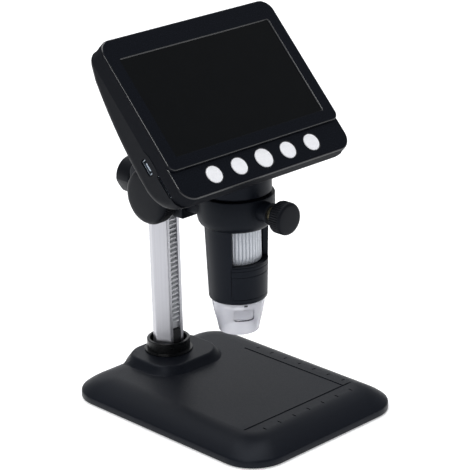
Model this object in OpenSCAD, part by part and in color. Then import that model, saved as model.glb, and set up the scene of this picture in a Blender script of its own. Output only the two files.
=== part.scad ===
// Digital microscope with a tilted display, held over a base by a rack-and-pinion stand.
// +Z is up, the display faces -Y, and the floor is z = 0. All lengths are in millimetres.

/* [Base] */
// Width of the base, side to side
base_w = 105; // [98:1:130]
// Depth of the base, front to back
base_d = 135; // [130:1:160]
// Centre of the base, front to back
base_y = -2.25; // [-6:0.25:2]
// Height of the base shell from its lower edge to its top face
base_h = 10.4; // [9.5:0.1:14]
// Radius of the base's corners seen from above
base_corner_r = 18.5; // [14:0.5:24]
// Height of the upright lip round the base
lip_h = 3.3; // [2.5:0.1:4.5]
// How far in from the lip the sloping flank reaches
flank_in = 7.5; // [6:0.5:9]
// Wall of the base shell
base_wall = 2.4; // [1.8:0.1:3]
// Height of the column's pad above the base's top face
pad_h = 4.1; // [3:0.1:6]
// Width of the column's pad at its top
pad_w = 40; // [36:1:48]
// How far the rubber feet hold the base shell off the floor
foot_lift = 0.6; // [0.4:0.1:1]
// Radius of a rubber foot
foot_r = 6; // [4.5:0.5:7]
// Thickness of the steel ballast plate
ballast_t = 2; // [1.5:0.5:3]
// Thickness of the bottom cover
cover_t = 1.2; // [1:0.1:1.6]
// Depth of the engraved ruler lines
ruler_depth = 0.35; // [0.2:0.05:0.6]

/* [Column] */
// Centre of the column, front to back
column_y = 44.95; // [43:0.25:50]
// Column size across its front and back faces
column_flats = 13.6; // [13:0.1:16]
// Width of the column's front face
column_face = 8.8; // [8.4:0.1:10]
// Column size across its side corners
column_w = 16.4; // [15.6:0.1:18]
// Height of the column's top end above the floor
column_top = 156; // [150:1:170]
// Width of the slot down the column's front face
slot_w = 5.2; // [5:0.1:5.8]
// Depth of that slot
slot_depth = 3.3; // [3.1:0.1:3.6]
// Radius of the core hole down the column
core_r = 2.1; // [1.6:0.1:2.3]
// Outer radius of the collar at the column's foot
collar_r = 11.1; // [10.5:0.1:13]
// Height of the collar
collar_h = 6.4; // [5:0.1:9]
// Height of the lower end of the rack above the floor
rack_foot = 27.3; // [25:0.1:32]

/* [Rack and pinion] */
// Tooth module of the rack and its pinion
gear_module = 0.8; // [0.76:0.01:0.82]
// Number of teeth on the pinion
pinion_teeth = 15; // [15:1:16]
// How far the rack's pitch line lies behind the column's front face
pitch_in = 1.15; // [1.1:0.05:1.3]
// Width of the pinion
pinion_w = 4.6; // [4:0.1:4.7]
// Radius of the pinion's shaft
shaft_r = 2.5; // [2:0.1:2.8]
// Height of the pinion's axis above the floor
pinion_z = 105.8; // [104:0.2:108]

/* [Carriage] */
// Width of the carriage block
carriage_w = 24; // [22:1:28]
// Carriage wall behind the column
carriage_back = 4.3; // [4:0.1:6]
// How far the carriage block reaches below the pinion's axis
carriage_low = 10.5; // [9.5:0.5:13]
// How far the carriage block reaches above the pinion's axis
carriage_high = 11.2; // [9.5:0.1:14]
// Largest radius of a focus knob
focus_knob_r = 14.25; // [12:0.25:16]
// Thickness of a focus knob
focus_knob_t = 10; // [8:0.5:12]
// Radius of the lock knob
lock_knob_r = 9.55; // [8:0.05:12]
// Half the distance between the lock knob's two flats
lock_flat = 8.6; // [7:0.1:9.4]
// Thickness of the lock knob
lock_knob_t = 10.4; // [8:0.1:12]
// Radius of the lock screw
lock_screw_r = 2; // [1.5:0.1:2.5]

/* [Clamp ring] */
// Centre of the clamp ring and the barrel, front to back
optic_y = -7.8; // [-10:0.2:-6]
// Outer radius of the clamp ring
ring_r = 19.1; // [18.6:0.1:22]
// Height of the clamp ring's top face above the floor
ring_top = 113; // [112:0.2:114]
// Height of the clamp ring
ring_h = 16.2; // [14:0.1:18]
// Width of the arm that joins the ring to the carriage
arm_w = 18; // [14:1:20]
// Radius of the clamp knob
clamp_knob_r = 8; // [7:0.5:10]
// Thickness of the clamp knob
clamp_knob_t = 7.3; // [6:0.1:9]
// Radius of the clamp screw
clamp_screw_r = 2.45; // [2:0.05:2.6]
// Outer radius of the brass insert that the clamp screw runs in
insert_r = 3.5; // [3.2:0.1:4]
// How far the clamp knob's back stands off the ring
clamp_reach = 10; // [8:0.5:14]

/* [Barrel] */
// Outer radius of the barrel inside the clamp ring
barrel_r = 15.7; // [15.3:0.05:16]
// Outer radius of the barrel near its lower end
barrel_foot_r = 14.5; // [14.3:0.05:15]
// Height of the barrel's lower end above the floor
barrel_low = 58.9; // [58:0.1:60]
// Radius of the space inside the barrel
barrel_in_r = 12.8; // [12.7:0.05:13]
// Half the angle that the focus window spans
window_half = 53.5; // [45:0.5:55]
// Height of the focus window's sill above the floor
sill_z = 78.9; // [78:0.1:80]
// Radius of the focus wheel
wheel_r = 12; // [11.6:0.1:12.5]
// Number of ribs round the focus wheel
wheel_ribs = 40; // [30:1:60]
// Radius of the bore through the focus wheel
wheel_bore_r = 9.8; // [9.6:0.1:10.4]
// Radius of the neck between the ring and the display head
neck_r = 17.7; // [17.4:0.1:19]

/* [Nose cone] */
// Length of the clear cone below the barrel
nose_len = 17.1; // [15:0.1:19]
// Radius of the cone at its top
nose_top_r = 13.1; // [12.9:0.1:13.6]
// Radius of the cone at its tip
nose_tip_r = 10; // [9:0.1:11]
// Wall of the clear cone
nose_wall = 1.5; // [1.2:0.1:1.8]

/* [Display head] */
// Height of the display's centre above the floor
head_z = 164.3; // [163.5:0.1:166]
// Centre of the display, front to back
head_y = -1.25; // [-2:0.05:-0.5]
// Tilt of the display's face from level
head_tilt = 47.08; // [46:0.1:48.5]
// Width of the head at its seam
head_w = 113; // [112:1:124]
// Top edge of the head above the display's centre
head_up = 38; // [37.8:0.1:42]
// Bottom edge of the head below the display's centre
head_down = 48.8; // [48.4:0.1:50]
// Depth of the seam between bezel and rear shell behind the display's face
seam = 8.6; // [8.4:0.1:9]
// Depth of the head's thickest part behind the display's face
heel_depth = 23.8; // [23:0.1:25]
// Depth of the head's upper edge behind the display's face
brow_depth = 13.8; // [13:0.1:15]
// Radius of the head's lower back
heel_r = 19; // [17:0.5:20]
// Radius of the head's upper back
brow_r = 8; // [7:0.5:9]
// Radius of the long curve of the head's back between them
back_r = 200; // [180:5:300]
// Rounding of the rear shell's sides
side_r = 5; // [3.5:0.5:5.4]
// Wall of the head's shells
head_wall = 2; // [1.8:0.1:2.4]
// How far the display frame stands in front of the display's face
frame_proud = 0.7; // [0.5:0.1:1]
// How far the button panel lies behind the display's face
panel_back = 1; // [0.8:0.1:1.2]
// Width of the display frame beside the display window
side_border = 8; // [7.5:0.5:10]
// Visible height of the display window
view_h = 53.4; // [50:0.2:54]
// Lower edge of the display frame below the display's centre
frame_down = 33.4; // [32:0.1:34]

/* [Buttons] */
// Radius of a button's cap
button_r = 4.45; // [4:0.05:4.8]
// Radius of the middle button's cap
ok_button_r = 5; // [4.6:0.05:5.4]
// Distance between neighbouring buttons
button_pitch = 16.25; // [14.5:0.25:17]
// How far the row of buttons lies below the display's centre
button_down = 40.2; // [40:0.1:41]
// Travel of a button
button_travel = 0.5; // [0.3:0.1:0.6]

/* [Hidden] */
$fn = 64;
hull_fn = 32;
sliver = 0.02;

// clearances
fit = 0.05;
slide_fit = 0.15;
loose = 0.3;

// base
shell_z = foot_lift;
base_top = shell_z + base_h;
pad_top = base_top + pad_h;
cover_z = shell_z;
ballast_z = cover_z + cover_t;
column_foot = ballast_z + ballast_t;
hex_face = column_face / 2;
hex_flat = column_flats / 2;
hex_corner = column_w / 2;
flank = [[0, 0], [0, lip_h], [0.3, lip_h + 0.45], [flank_in, base_h - 1.9], [flank_in + 2.3, base_h - 1],
    [flank_in + 5, base_h - 0.35], [flank_in + 8.5, base_h]];
foot_inset = [14, 16];
cover_screw_inset = [9, 28];
cover_edge = base_wall + 0.3;
screw_r = 1.1;
screw_head_r = 2;
screw_head_t = 1.2;
bolt_r = 2.05;
bolt_head_r = 4.5;
bolt_head_t = 1;
socket_r = column_w / 2 + 2.8;
boss_r = 3.2;
core_shift = 0.7;
collar_wall = 1.7;
collar_floor = 2.4;
flange_t = 0.8;
ruler_x = 32.4;
ruler_y = base_y - 45.2;
ruler_line = 1;
ruler_side_len = 70;
ruler_front_len = 74.8;
ruler_over = 5.2;
tick_gap = 10;
tick_line = 0.7;
tick_len = 2.4;
ballast_inset = [18, 11];
ballast_shift = 2;
ballast_corner = 6;
pad_corner_r = [14, 12];
pad_back_gap = 3;
// the pad's outline grows by these, sideways, forwards and backwards, towards its foot
pad_slope = [[4.4, 4.2, 0, pad_h + 5.4], [3, 2.9, 1.8, 3.7], [0.2, 0.2, 3.4, 0.2], [-0.6, -0.6, 4.2, 0]];

// column and rack
column_front = column_y - column_flats / 2;
slot_floor = column_front + slot_depth;
rack_w = slot_w - 0.2;
pitch = PI * gear_module;
pitch_r = gear_module * pinion_teeth / 2;
rack_pitch_y = column_front + pitch_in;
rack_tip = 0.75 * gear_module;
rack_root = 1.2 * gear_module;
backlash = 0.14;
pressure = 20;
pinion_y = rack_pitch_y - pitch_r;
tip_r = pitch_r + 0.85 * gear_module;
root_r = pitch_r - 1.15 * gear_module;
rack_top = column_top - 1;
core_y = column_y + core_shift;
cap_t = 2;
cap_spigot = 8;

// carriage
carriage_z0 = pinion_z - carriage_low;
carriage_z1 = pinion_z + carriage_high;
column_back = column_y + column_flats / 2;
carriage_y1 = column_back + carriage_back;
carriage_y0 = optic_y + ring_r + 7;
bush_r = shaft_r + 1.5;
bush_len = 4;
bush_x = carriage_w / 2 - bush_len;
knob_gap = 1;
knob_x = carriage_w / 2 + knob_gap;
lock_z = pinion_z - 0.7;
shoe_t = 1.8;
shoe_w = 6;
lock_boss_t = 2.6;
lock_boss_r = lock_screw_r + 3.2;
lock_knob_y = carriage_y1 + lock_boss_t + 0.9;

// clamp ring and barrel
ring_low = ring_top - ring_h;
ring_bore = barrel_r + loose;
clamp_z = ring_top - 6.1;
arm_low = 2;
arm_z = clamp_z - 1.5;
arm_screws = [-4, 4];
clamp_knob_back = optic_y - ring_r - clamp_reach;
clamp_boss_y = clamp_knob_back + 4.4;
insert_y = clamp_knob_back + 2;
pad_gap = 0.3;
pad_y = optic_y - barrel_r - pad_gap;
pad_t = 2.4;
neck_low = ring_top + 1;
neck_seat = ring_top + loose;
barrel_top = ring_top + 6.5;
neck_ledge = 2;
ear_angle = 22;
ear_at = barrel_in_r - 0.6;
ear_r = 2.3;
ear_h = 8;
foot_round = 1;
taper_end = ring_low - 1.1;
cover_low = barrel_low + 2.6;
cover_skin = 1.2;
cover_half = window_half + 2.5;
cover_grooves = [1.7, 5];
cover_high = sill_z - 0.6;
wheel_low = sill_z - 0.4;
wheel_high = ring_low + 2.5;
ledge_t = 1.7;
retainer_t = 1.5;
sensor_z = wheel_high + loose + retainer_t;
sensor_t = 1.6;
spigot_len = 4;
spigot_r = barrel_in_r - 0.8;
led_z = barrel_low + spigot_len + 0.4;
led_t = 1.2;
led_seat = led_z + led_t;
led_ledge = 1.4;
led_at = spigot_r - 3.4;
led_r = 1.3;
carrier_r = wheel_bore_r - loose;
carrier_low = led_z + led_t + 5;
carrier_high = wheel_high - 2.4;
lens_r = 5.6;
nose_z = barrel_low - 0.2;
nose_rim = 0.4;
spigot_wall = 1.2;
nose_gap_w = 10.4;
nose_gap_h = 6.3;
nose_gap_top = 3.1;
// the cone widens by these shares at these shares of its length
nose_side = [[0.38, 0.33], [0.74, 0.6], [0.95, 0.8], [1, 0.98]];

// head, in its own frame: x across, y up the display, z out of the display
view_w = head_w - 2 * side_border;
seat_w = view_w / 2 + 1.5;
seat_h = view_h / 2 + 1.5;
window_t = 1.2;
window_seat = 1.3;
lcd_w = view_w + 6;
lcd_h = view_h + 7.6;
lcd_t = 3;
bracket_z = -window_seat - lcd_t;
bracket_t = 0.8;
board_z = bracket_z - bracket_t - 1.3;
board_t = 1.6;
board_back = board_z - board_t;
frame_corner = 7;
frame_low_corner = 4;
head_corner = 8;
inner_w = head_w - 2 * head_wall - 1.4;
post_r = 2.4;
well_r = 2.3;
post_back_r = well_r + 0.6;
post_x = [head_w / 2 - 5.5, head_w / 2 - 6.5];
post_y = [head_up - 4.6, -head_down + 3.7];
post_depth = 1.5;
draft = 0.08;
rib_t = 1.6;
neck_at = [10.5, -21];
neck_post_r = 3.4;
back_steps = 5;
cap_z = -panel_back + 0.1;
panel_t = 1.8;
panel_in = -panel_back - panel_t;
flange_out = 0.75;
key_board_z = panel_in - 3;
key_board_t = 1.2;
key_board_half = 2 * button_pitch + 6.5;
stem_end = panel_in - 1.2;
switch_top = stem_end - button_travel - 0.1;
bracket_x = head_w / 2 - 18.5;
bracket_y = [-22, 20];
battery_at = [8, -33];
battery_size = [bracket_x - battery_at[0] - 2.5, 38, 5.5];
battery_front = board_back - 0.6;
battery_back = battery_front - battery_size[2];
port_y = -23.2;
port_z = -12.4;
port_size = [5.6, 7.5, 2.7];
port_x = -head_w / 2 + 0.6;
charge_board_z = port_z - port_size[2] / 2;
charge_board_t = 1.2;
card_y = -36;
card_size = [15, 11.8, 1.4];
card_mouth = [14.6, 11.2, 0.8];
main_tab = [12, 16];
tab_half = 7.5;
tab_rise = 1.4;
tab_y = -23.5;
tab_r = (tab_half * tab_half + tab_rise * tab_rise) / (2 * tab_rise);
ribbon_hole_r = 6.5;

function arc(r, a) = [r * cos(a), r * sin(a)];
function involute(r, base) = tan(acos(base / r)) * 180 / PI - acos(base / r);
function cap_radius(i) = i == 0 ? ok_button_r : button_r;
function side_radius(z) = barrel_foot_r
    + (z - barrel_low - foot_round) * (barrel_r - barrel_foot_r) / (taper_end - barrel_low - foot_round);

module rounded(w, d, r) {
    square([w - 2 * r, d], center = true);
    square([w, d - 2 * r], center = true);
    for (x = [-1, 1], y = [-1, 1])
        translate([x * (w / 2 - r), y * (d / 2 - r)]) circle(r);
}

// rounded plate between four edges, with its upper and lower corners of different radius
module plate(w, low, high, r_low, r_high) {
    translate([-w / 2 + r_low, low]) square([w - 2 * r_low, r_low]);
    translate([-w / 2, low + r_low]) square([w, high - low - r_low - r_high]);
    translate([-w / 2 + r_high, high - r_high]) square([w - 2 * r_high, r_high]);
    for (x = [-1, 1]) {
        translate([x * (w / 2 - r_low), low + r_low]) circle(r_low);
        translate([x * (w / 2 - r_high), high - r_high]) circle(r_high);
    }
}

module along_x(from, to, r) translate([from, 0, 0]) rotate([0, 90, 0]) cylinder(h = to - from, r = r);

module along_y(from, to, r) translate([0, from, 0]) rotate([-90, 0, 0]) cylinder(h = to - from, r = r);

module ring(r_out, r_in, h) difference() {
    cylinder(h = h, r = r_out);
    translate([0, 0, -1]) cylinder(h = h + 2, r = r_in);
}

// wedge about -Y, wide enough to span half degrees each side
module wedge(half, r, z0, z1) translate([0, 0, z0]) linear_extrude(z1 - z0)
    polygon([[0, 0], [-r * tan(half), -r], [r * tan(half), -r]]);

module at_optic() translate([0, optic_y, 0]) children();

module in_head() translate([0, head_y, head_z]) rotate([head_tilt, 0, 0]) children();

// ---------- base ----------

module base_form(inset, drop) hull() {
    $fn = hull_fn;
    for (p = flank)
        translate([0, 0, p[1] < lip_h + 0.1 ? p[1] : max(p[1] - drop, lip_h - 0.2)]) linear_extrude(sliver)
            rounded(base_w - 2 * (p[0] + inset), base_d - 2 * (p[0] + inset),
                max(base_corner_r - 0.75 * p[0] - inset, 4));
}

// column pad that fades into the back of the base
module pad_form(shrink) {
    front = column_y - base_y - 20.5;
    back = base_d / 2 - pad_back_gap;
    hull() {
        $fn = hull_fn;
        for (s = pad_slope)
            translate([0, 0, base_h + pad_h - s[3] - shrink - sliver]) linear_extrude(sliver)
                plate(pad_w + 2 * s[0] - 2 * shrink, front - s[1] + shrink, back - s[2] - shrink,
                    pad_corner_r[0], pad_corner_r[1]);
    }
}

module base_holes() {
    for (x = [-1, 1], y = [-1, 1])
        translate([x * (base_w / 2 - cover_screw_inset[0]), base_y + y * (base_d / 2 - cover_screw_inset[1]), 0])
            children();
}

module column_outline(grow) polygon([
    [-hex_face - grow * 0.577, -hex_flat - grow], [hex_face + grow * 0.577, -hex_flat - grow],
    [hex_corner + grow * 1.15, 0], [hex_face + grow * 0.577, hex_flat + grow],
    [-hex_face - grow * 0.577, hex_flat + grow], [-hex_corner - grow * 1.15, 0]]);

module column_channel(grow, z0, z1) translate([0, column_y, z0]) linear_extrude(z1 - z0) column_outline(grow);

module ruler_grooves() {
    line_z = base_top - ruler_depth;
    translate([ruler_x, ruler_y, line_z]) cube([ruler_line, ruler_side_len, 2]);
    translate([ruler_x + ruler_line + ruler_over - ruler_front_len, ruler_y, line_z])
        cube([ruler_front_len, ruler_line, 2]);
    for (i = [0:6])
        translate([ruler_x + 4.4, ruler_y + 5 + i * tick_gap, line_z]) cube([tick_len, tick_line, 2]);
    for (i = [0:6])
        translate([ruler_x - 1 - i * tick_gap, ruler_y - 6.6, line_z]) cube([tick_line, tick_len, 2]);
}

module base_shell() color("#1d1f22") {
    difference() {
        union() {
            difference() {
                translate([0, base_y, shell_z]) union() {
                    base_form(0, 0);
                    pad_form(0);
                }
                translate([0, base_y, shell_z]) union() {
                    base_form(base_wall, base_wall);
                    pad_form(base_wall);
                }
                translate([0, base_y, shell_z - 1]) linear_extrude(lip_h)
                    rounded(base_w - 2 * base_wall, base_d - 2 * base_wall, base_corner_r - base_wall);
            }
            base_holes() translate([0, 0, ballast_z]) cylinder(h = lip_h + 1, r = boss_r);
            translate([0, column_y, column_foot]) cylinder(h = pad_top - column_foot - 1, r = socket_r);
        }
        base_holes() translate([0, 0, ballast_z - 1]) cylinder(h = lip_h, r = screw_r);
        column_channel(fit, 0, pad_top + 1);
        ruler_grooves();
    }
}

module base_bottom_cover() color("#242629") difference() {
    translate([0, base_y, cover_z]) linear_extrude(cover_t)
        rounded(base_w - 2 * cover_edge, base_d - 2 * cover_edge, base_corner_r - cover_edge);
    base_holes() translate([0, 0, cover_z - 1]) cylinder(h = cover_t + 2, r = screw_r + 0.1);
    base_holes() translate([0, 0, cover_z - 1]) cylinder(h = 1.6, r = screw_head_r + 0.2);
    at_feet() translate([0, 0, cover_z - 1]) cylinder(h = 1.4, r = foot_r + 0.1);
    translate([0, column_y, cover_z - 1]) cylinder(h = cover_t + 2, r = bolt_head_r + 0.8);
}

module base_ballast_plate() color("#8d9196") difference() {
    translate([0, base_y + ballast_shift, ballast_z]) linear_extrude(ballast_t)
        rounded(base_w - 2 * ballast_inset[0], base_d - 2 * ballast_inset[1], ballast_corner);
    translate([0, core_y, ballast_z - 1]) cylinder(h = ballast_t + 2, r = bolt_r + 0.2);
}

module at_feet() {
    for (x = [-1, 1], y = [-1, 1])
        translate([x * (base_w / 2 - foot_inset[0]), base_y + y * (base_d / 2 - foot_inset[1]), 0]) children();
}

module base_feet() color("#151515") at_feet() cylinder(h = cover_z + 0.4, r = foot_r);

module base_cover_screws() color("#9a9da1") base_holes() {
    translate([0, 0, cover_z - 0.4]) cylinder(h = 1, r = screw_head_r);
    translate([0, 0, cover_z + 0.5]) cylinder(h = cover_t + lip_h - 2.4, r = screw_r - fit);
}

// ---------- column ----------

module column() color("#c6c9cd") difference() {
    column_channel(0, column_foot, column_top);
    translate([-slot_w / 2, column_front - 1, column_foot - 1])
        cube([slot_w, slot_depth + 1, column_top - column_foot + 2]);
    translate([0, core_y, column_foot - 1]) cylinder(h = column_top - column_foot + 2, r = core_r);
}

module column_collar() color("#0e0f10") difference() {
    translate([0, column_y, pad_top]) union() {
        cylinder(h = flange_t, r = collar_r + 1.3);
        cylinder(h = collar_h, r = collar_r);
    }
    column_channel(fit, pad_top - 1, pad_top + collar_h + 1);
    translate([0, column_y, pad_top + collar_floor]) cylinder(h = collar_h, r = collar_r - collar_wall);
}

module column_top_cap() color("#16181a") {
    translate([0, column_y, column_top]) linear_extrude(cap_t) column_outline(0.4);
    translate([0, core_y, column_top - cap_spigot]) cylinder(h = cap_spigot, r = core_r - fit);
}

module column_foot_bolt() color("#a2a5a9") {
    translate([0, core_y, ballast_z - bolt_head_t]) cylinder(h = bolt_head_t, r = bolt_head_r - 1);
    translate([0, core_y, ballast_z]) cylinder(h = ballast_t + 12, r = min(bolt_r, core_r) - 2 * fit);
}

module column_slot_plug() color("#101112")
    translate([-slot_w / 2 + fit, column_front + 0.2, pad_top + collar_floor])
        cube([slot_w - 2 * fit, slot_depth - 0.2, rack_foot - pad_top - collar_floor]);

// rack teeth in the y-z plane, one gap level with the pinion's axis
module rack_outline() {
    count_down = floor((pinion_z - rack_foot) / pitch - 0.8);
    count_up = floor((rack_top - pinion_z) / pitch - 0.8);
    half_tip = pitch / 4 - backlash / 2 - rack_tip * tan(pressure);
    half_root = pitch / 4 - backlash / 2 + rack_root * tan(pressure);
    polygon(concat(
        [[slot_floor, rack_top], [slot_floor, rack_foot], [rack_pitch_y + rack_root, rack_foot]],
        [for (i = [-count_down:count_up], s = [[1, half_root], [0, half_tip], [0, -half_tip], [1, -half_root]])
            [rack_pitch_y + (s[0] == 1 ? rack_root : -rack_tip), pinion_z + (i + 0.5) * pitch - s[1]]],
        [[rack_pitch_y + rack_root, rack_top]]));
}

module rack_strip() color("#a9adb2")
    translate([-rack_w / 2, 0, 0]) rotate([90, 0, 90]) linear_extrude(rack_w) rack_outline();

// ---------- carriage ----------

module block_outline(y0, y1, z0, z1, r0, r1) {
    translate([y0, z0]) square([y1 - y0 - r0, z1 - z0]);
    translate([y0, z0 + r0]) square([y1 - y0, z1 - z0 - r0 - r1]);
    translate([y1 - r0, z0 + r0]) circle(r0);
    translate([y1 - r1, z1 - r1]) circle(r1);
    translate([y1 - r0 - 1, z1 - r1]) square([r0 + 1 - r1, r1]);
}

module carriage_body() color("#17191c") difference() {
    union() {
        translate([-carriage_w / 2, 0, 0]) rotate([90, 0, 90]) linear_extrude(carriage_w)
            block_outline(carriage_y0, carriage_y1, carriage_z0, carriage_z1, 9, 6);
        translate([0, 0, lock_z]) along_y(carriage_y1 - 1, carriage_y1 + lock_boss_t, lock_boss_r);
    }
    column_channel(slide_fit, carriage_z0 - 1, carriage_z1 + 1);
    translate([0, pinion_y, pinion_z]) {
        along_x(-pinion_w / 2 - 0.6, pinion_w / 2 + 0.6, tip_r + 0.4);
        along_x(-carriage_w, carriage_w, shaft_r + loose);
        along_x(bush_x, carriage_w, bush_r);
        along_x(-carriage_w, -bush_x, bush_r);
    }
    translate([-shoe_w / 2 - 0.2, column_back, lock_z - shoe_w / 2 - 0.2])
        cube([shoe_w + 0.4, shoe_t + 1.5, shoe_w + 0.4]);
    translate([0, 0, lock_z]) along_y(column_back, carriage_y1 + lock_boss_t + 1, lock_screw_r + fit);
    for (z = arm_screws)
        translate([0, 0, arm_z + z]) along_y(carriage_y0 - 1, carriage_y0 + 6.5, screw_r);
}

module carriage_bushes() color("#b8923f") translate([0, pinion_y, pinion_z])
    difference() {
        union() {
            along_x(bush_x, carriage_w / 2, bush_r);
            along_x(-carriage_w / 2, -bush_x, bush_r);
        }
        along_x(-carriage_w, carriage_w, shaft_r + fit);
    }

// half the angle of a pinion tooth at radius r
function tooth_half(r) = 90 / pinion_teeth - backlash * 90 / (PI * pitch_r)
    + involute(pitch_r, pitch_r * cos(pressure)) - involute(r, pitch_r * cos(pressure));

module pinion_outline() {
    start = max(root_r + 0.05, pitch_r * cos(pressure) + 0.01);
    radii = [for (i = [0:5]) start + (tip_r - start) * i / 5];
    polygon([for (t = [0:pinion_teeth - 1]) let (mid = t * 360 / pinion_teeth) each concat(
        [arc(root_r, mid - tooth_half(start))],
        [for (r = radii) arc(r, mid - tooth_half(r))],
        [for (i = [5:-1:0]) arc(radii[i], mid + tooth_half(radii[i]))],
        [arc(root_r, mid + tooth_half(start))])]);
}

module pinion_shaft() color("#c2c4c7") translate([0, pinion_y, pinion_z]) {
    along_x(-knob_x - focus_knob_t + 3, knob_x + focus_knob_t - 3, shaft_r);
    translate([-pinion_w / 2, 0, 0]) rotate([90, 0, 90]) linear_extrude(pinion_w) pinion_outline();
}

module focus_knob() difference() {
    translate([knob_x, 0, 0]) rotate([0, 90, 0]) rotate_extrude() polygon([
        [0, 0], [focus_knob_r - 1.4, 0], [focus_knob_r - 0.6, 0.8],
        [focus_knob_r, 2.4], [focus_knob_r, focus_knob_t - 2.6],
        [focus_knob_r - 0.95, focus_knob_t - 1], [focus_knob_r - 3.75, focus_knob_t], [0, focus_knob_t]]);
    along_x(0, knob_x + focus_knob_t - 3, shaft_r + 0.01);
}

module focus_knob_right() color("#131416") translate([0, pinion_y, pinion_z]) focus_knob();

module focus_knob_left() color("#131416") translate([0, pinion_y, pinion_z]) mirror([1, 0, 0]) focus_knob();

// circle with two flats, one of them turned up by 31 degrees
module lock_outline() intersection() {
    circle(lock_knob_r);
    rotate(-31) square([2 * lock_flat, 3 * lock_knob_r], center = true);
}

module lock_knob() color("#131416") difference() {
    translate([0, lock_knob_y, lock_z]) rotate([-90, 0, 0]) linear_extrude(lock_knob_t) lock_outline();
    translate([0, 0, lock_z]) along_y(lock_knob_y - 1, lock_knob_y + lock_knob_t - 3, lock_screw_r + 0.01);
}

module lock_screw() color("#a2a5a9") translate([0, 0, lock_z])
    along_y(column_back + slide_fit + shoe_t + 0.2, lock_knob_y + lock_knob_t - 3, lock_screw_r);

module lock_shoe() color("#d8d4c6")
    translate([-shoe_w / 2, column_back + slide_fit + 0.15, lock_z - shoe_w / 2]) cube([shoe_w, shoe_t, shoe_w]);

// ---------- clamp ring ----------

module clamp_ring() color("#16181b") difference() {
    union() {
        at_optic() rotate_extrude($fn = 128) polygon([[0, ring_low], [ring_r - 3.3, ring_low],
            [ring_r - 1.5, ring_low + 1.2], [ring_r - 0.7, ring_low + 2.7], [ring_r - 0.3, ring_low + 4.6],
            [ring_r, ring_low + 7], [ring_r, ring_top - 0.3], [ring_r - 0.3, ring_top], [0, ring_top]]);
        translate([-arm_w / 2, optic_y + ring_bore, ring_low + arm_low])
            cube([arm_w, carriage_y0 - optic_y - ring_bore, ring_h - arm_low - 1]);
        translate([0, 0, clamp_z]) along_y(clamp_boss_y, optic_y - ring_bore, insert_r + 1.7);
    }
    at_optic() translate([0, 0, ring_low - 1]) cylinder(h = ring_h + 2, r = ring_bore, $fn = 128);
    translate([0, 0, clamp_z]) along_y(clamp_boss_y - 1, optic_y, insert_r);
    for (z = arm_screws) translate([0, 0, arm_z + z]) {
        along_y(optic_y, carriage_y0 + 1, screw_r + 0.1);
        along_y(optic_y, optic_y + ring_bore + screw_head_t + 0.8, screw_head_r + 0.1);
    }
}

module clamp_ring_screws() color("#a2a5a9")
    for (z = arm_screws) translate([0, 0, arm_z + z]) {
        along_y(optic_y + ring_bore + 0.8, optic_y + ring_bore + screw_head_t + 0.8, screw_head_r);
        along_y(optic_y + ring_bore + 1, carriage_y0 + 6, screw_r - fit);
    }

module clamp_insert() color("#c59a3d") translate([0, 0, clamp_z]) difference() {
    along_y(insert_y, optic_y - ring_bore - 0.5, insert_r);
    along_y(insert_y - 1, optic_y, clamp_screw_r + fit);
}

module clamp_pad() color("#d8d4c6") translate([0, 0, clamp_z]) along_y(pad_y - pad_t, pad_y, clamp_screw_r - fit);

module clamp_screw() color("#a8abaf") translate([0, 0, clamp_z])
    along_y(clamp_knob_back - clamp_knob_t + 3, pad_y - pad_t, clamp_screw_r);

module clamp_knob() color("#131416") translate([0, 0, clamp_z]) difference() {
    translate([0, clamp_knob_back, 0]) rotate([90, 0, 0]) rotate_extrude() polygon([[0, 0], [clamp_knob_r - 1, 0],
        [clamp_knob_r, 1], [clamp_knob_r, clamp_knob_t - 0.9], [clamp_knob_r - 1, clamp_knob_t], [0, clamp_knob_t]]);
    along_y(clamp_knob_back - clamp_knob_t + 3, clamp_knob_back + 1, clamp_screw_r + 0.01);
}

// ---------- neck and barrel ----------

module neck_boss(s) in_head() translate([s * neck_at[0], neck_at[1], -heel_depth - 8]) cylinder(h = 16, r = 3);

module neck_housing() color("#17191c") difference() {
    union() {
        difference() {
            at_optic() union() {
                translate([0, 0, neck_low]) cylinder(h = 40, r = neck_r);
                translate([0, 0, neck_seat]) cylinder(h = 1, r = neck_r - 1.1);
            }
            at_optic() translate([0, 0, barrel_top + neck_ledge]) cylinder(h = 40, r = neck_r - 2.6);
        }
        intersection() {
            at_optic() translate([0, 0, barrel_top + 4]) cylinder(h = 40, r = neck_r - 1);
            for (s = [-1, 1]) neck_boss(s);
        }
    }
    in_head() rear_form(0);
    in_head() translate([0, 0, -seam - 1]) linear_extrude(60) square([200, 200], center = true);
    at_optic() translate([0, 0, neck_seat - 1]) cylinder(h = barrel_top - neck_seat + 1, r = barrel_r + fit);
    at_optic() translate([0, 0, neck_low]) cylinder(h = 40, r = ear_at - ear_r - 0.4);
    at_ears() translate([0, 0, barrel_top - 1]) cylinder(h = 6, r = screw_r);
    for (s = [-1, 1]) in_head()
        translate([s * neck_at[0], neck_at[1], -heel_depth - 5]) cylinder(h = 16, r = screw_r - 0.2);
}

module at_ears() for (s = [-1, 1])
    at_optic() translate([s * ear_at * cos(ear_angle), ear_at * sin(ear_angle), 0]) children();

module neck_screws() color("#a2a5a9") for (s = [-1, 1]) in_head() translate([s * neck_at[0], neck_at[1], 0]) {
    translate([0, 0, -heel_depth + head_wall + 2]) cylinder(h = screw_head_t, r = screw_head_r);
    translate([0, 0, -heel_depth - 4.5]) cylinder(h = head_wall + 6.6, r = screw_r - 0.2 - fit);
}

module barrel_screws() color("#a2a5a9") at_ears() {
    translate([0, 0, barrel_top + neck_ledge]) cylinder(h = screw_head_t, r = screw_head_r - 0.1);
    translate([0, 0, barrel_top - ear_h + 2]) cylinder(h = ear_h + neck_ledge - 1.9, r = screw_r - 0.2 - fit);
}

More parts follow.
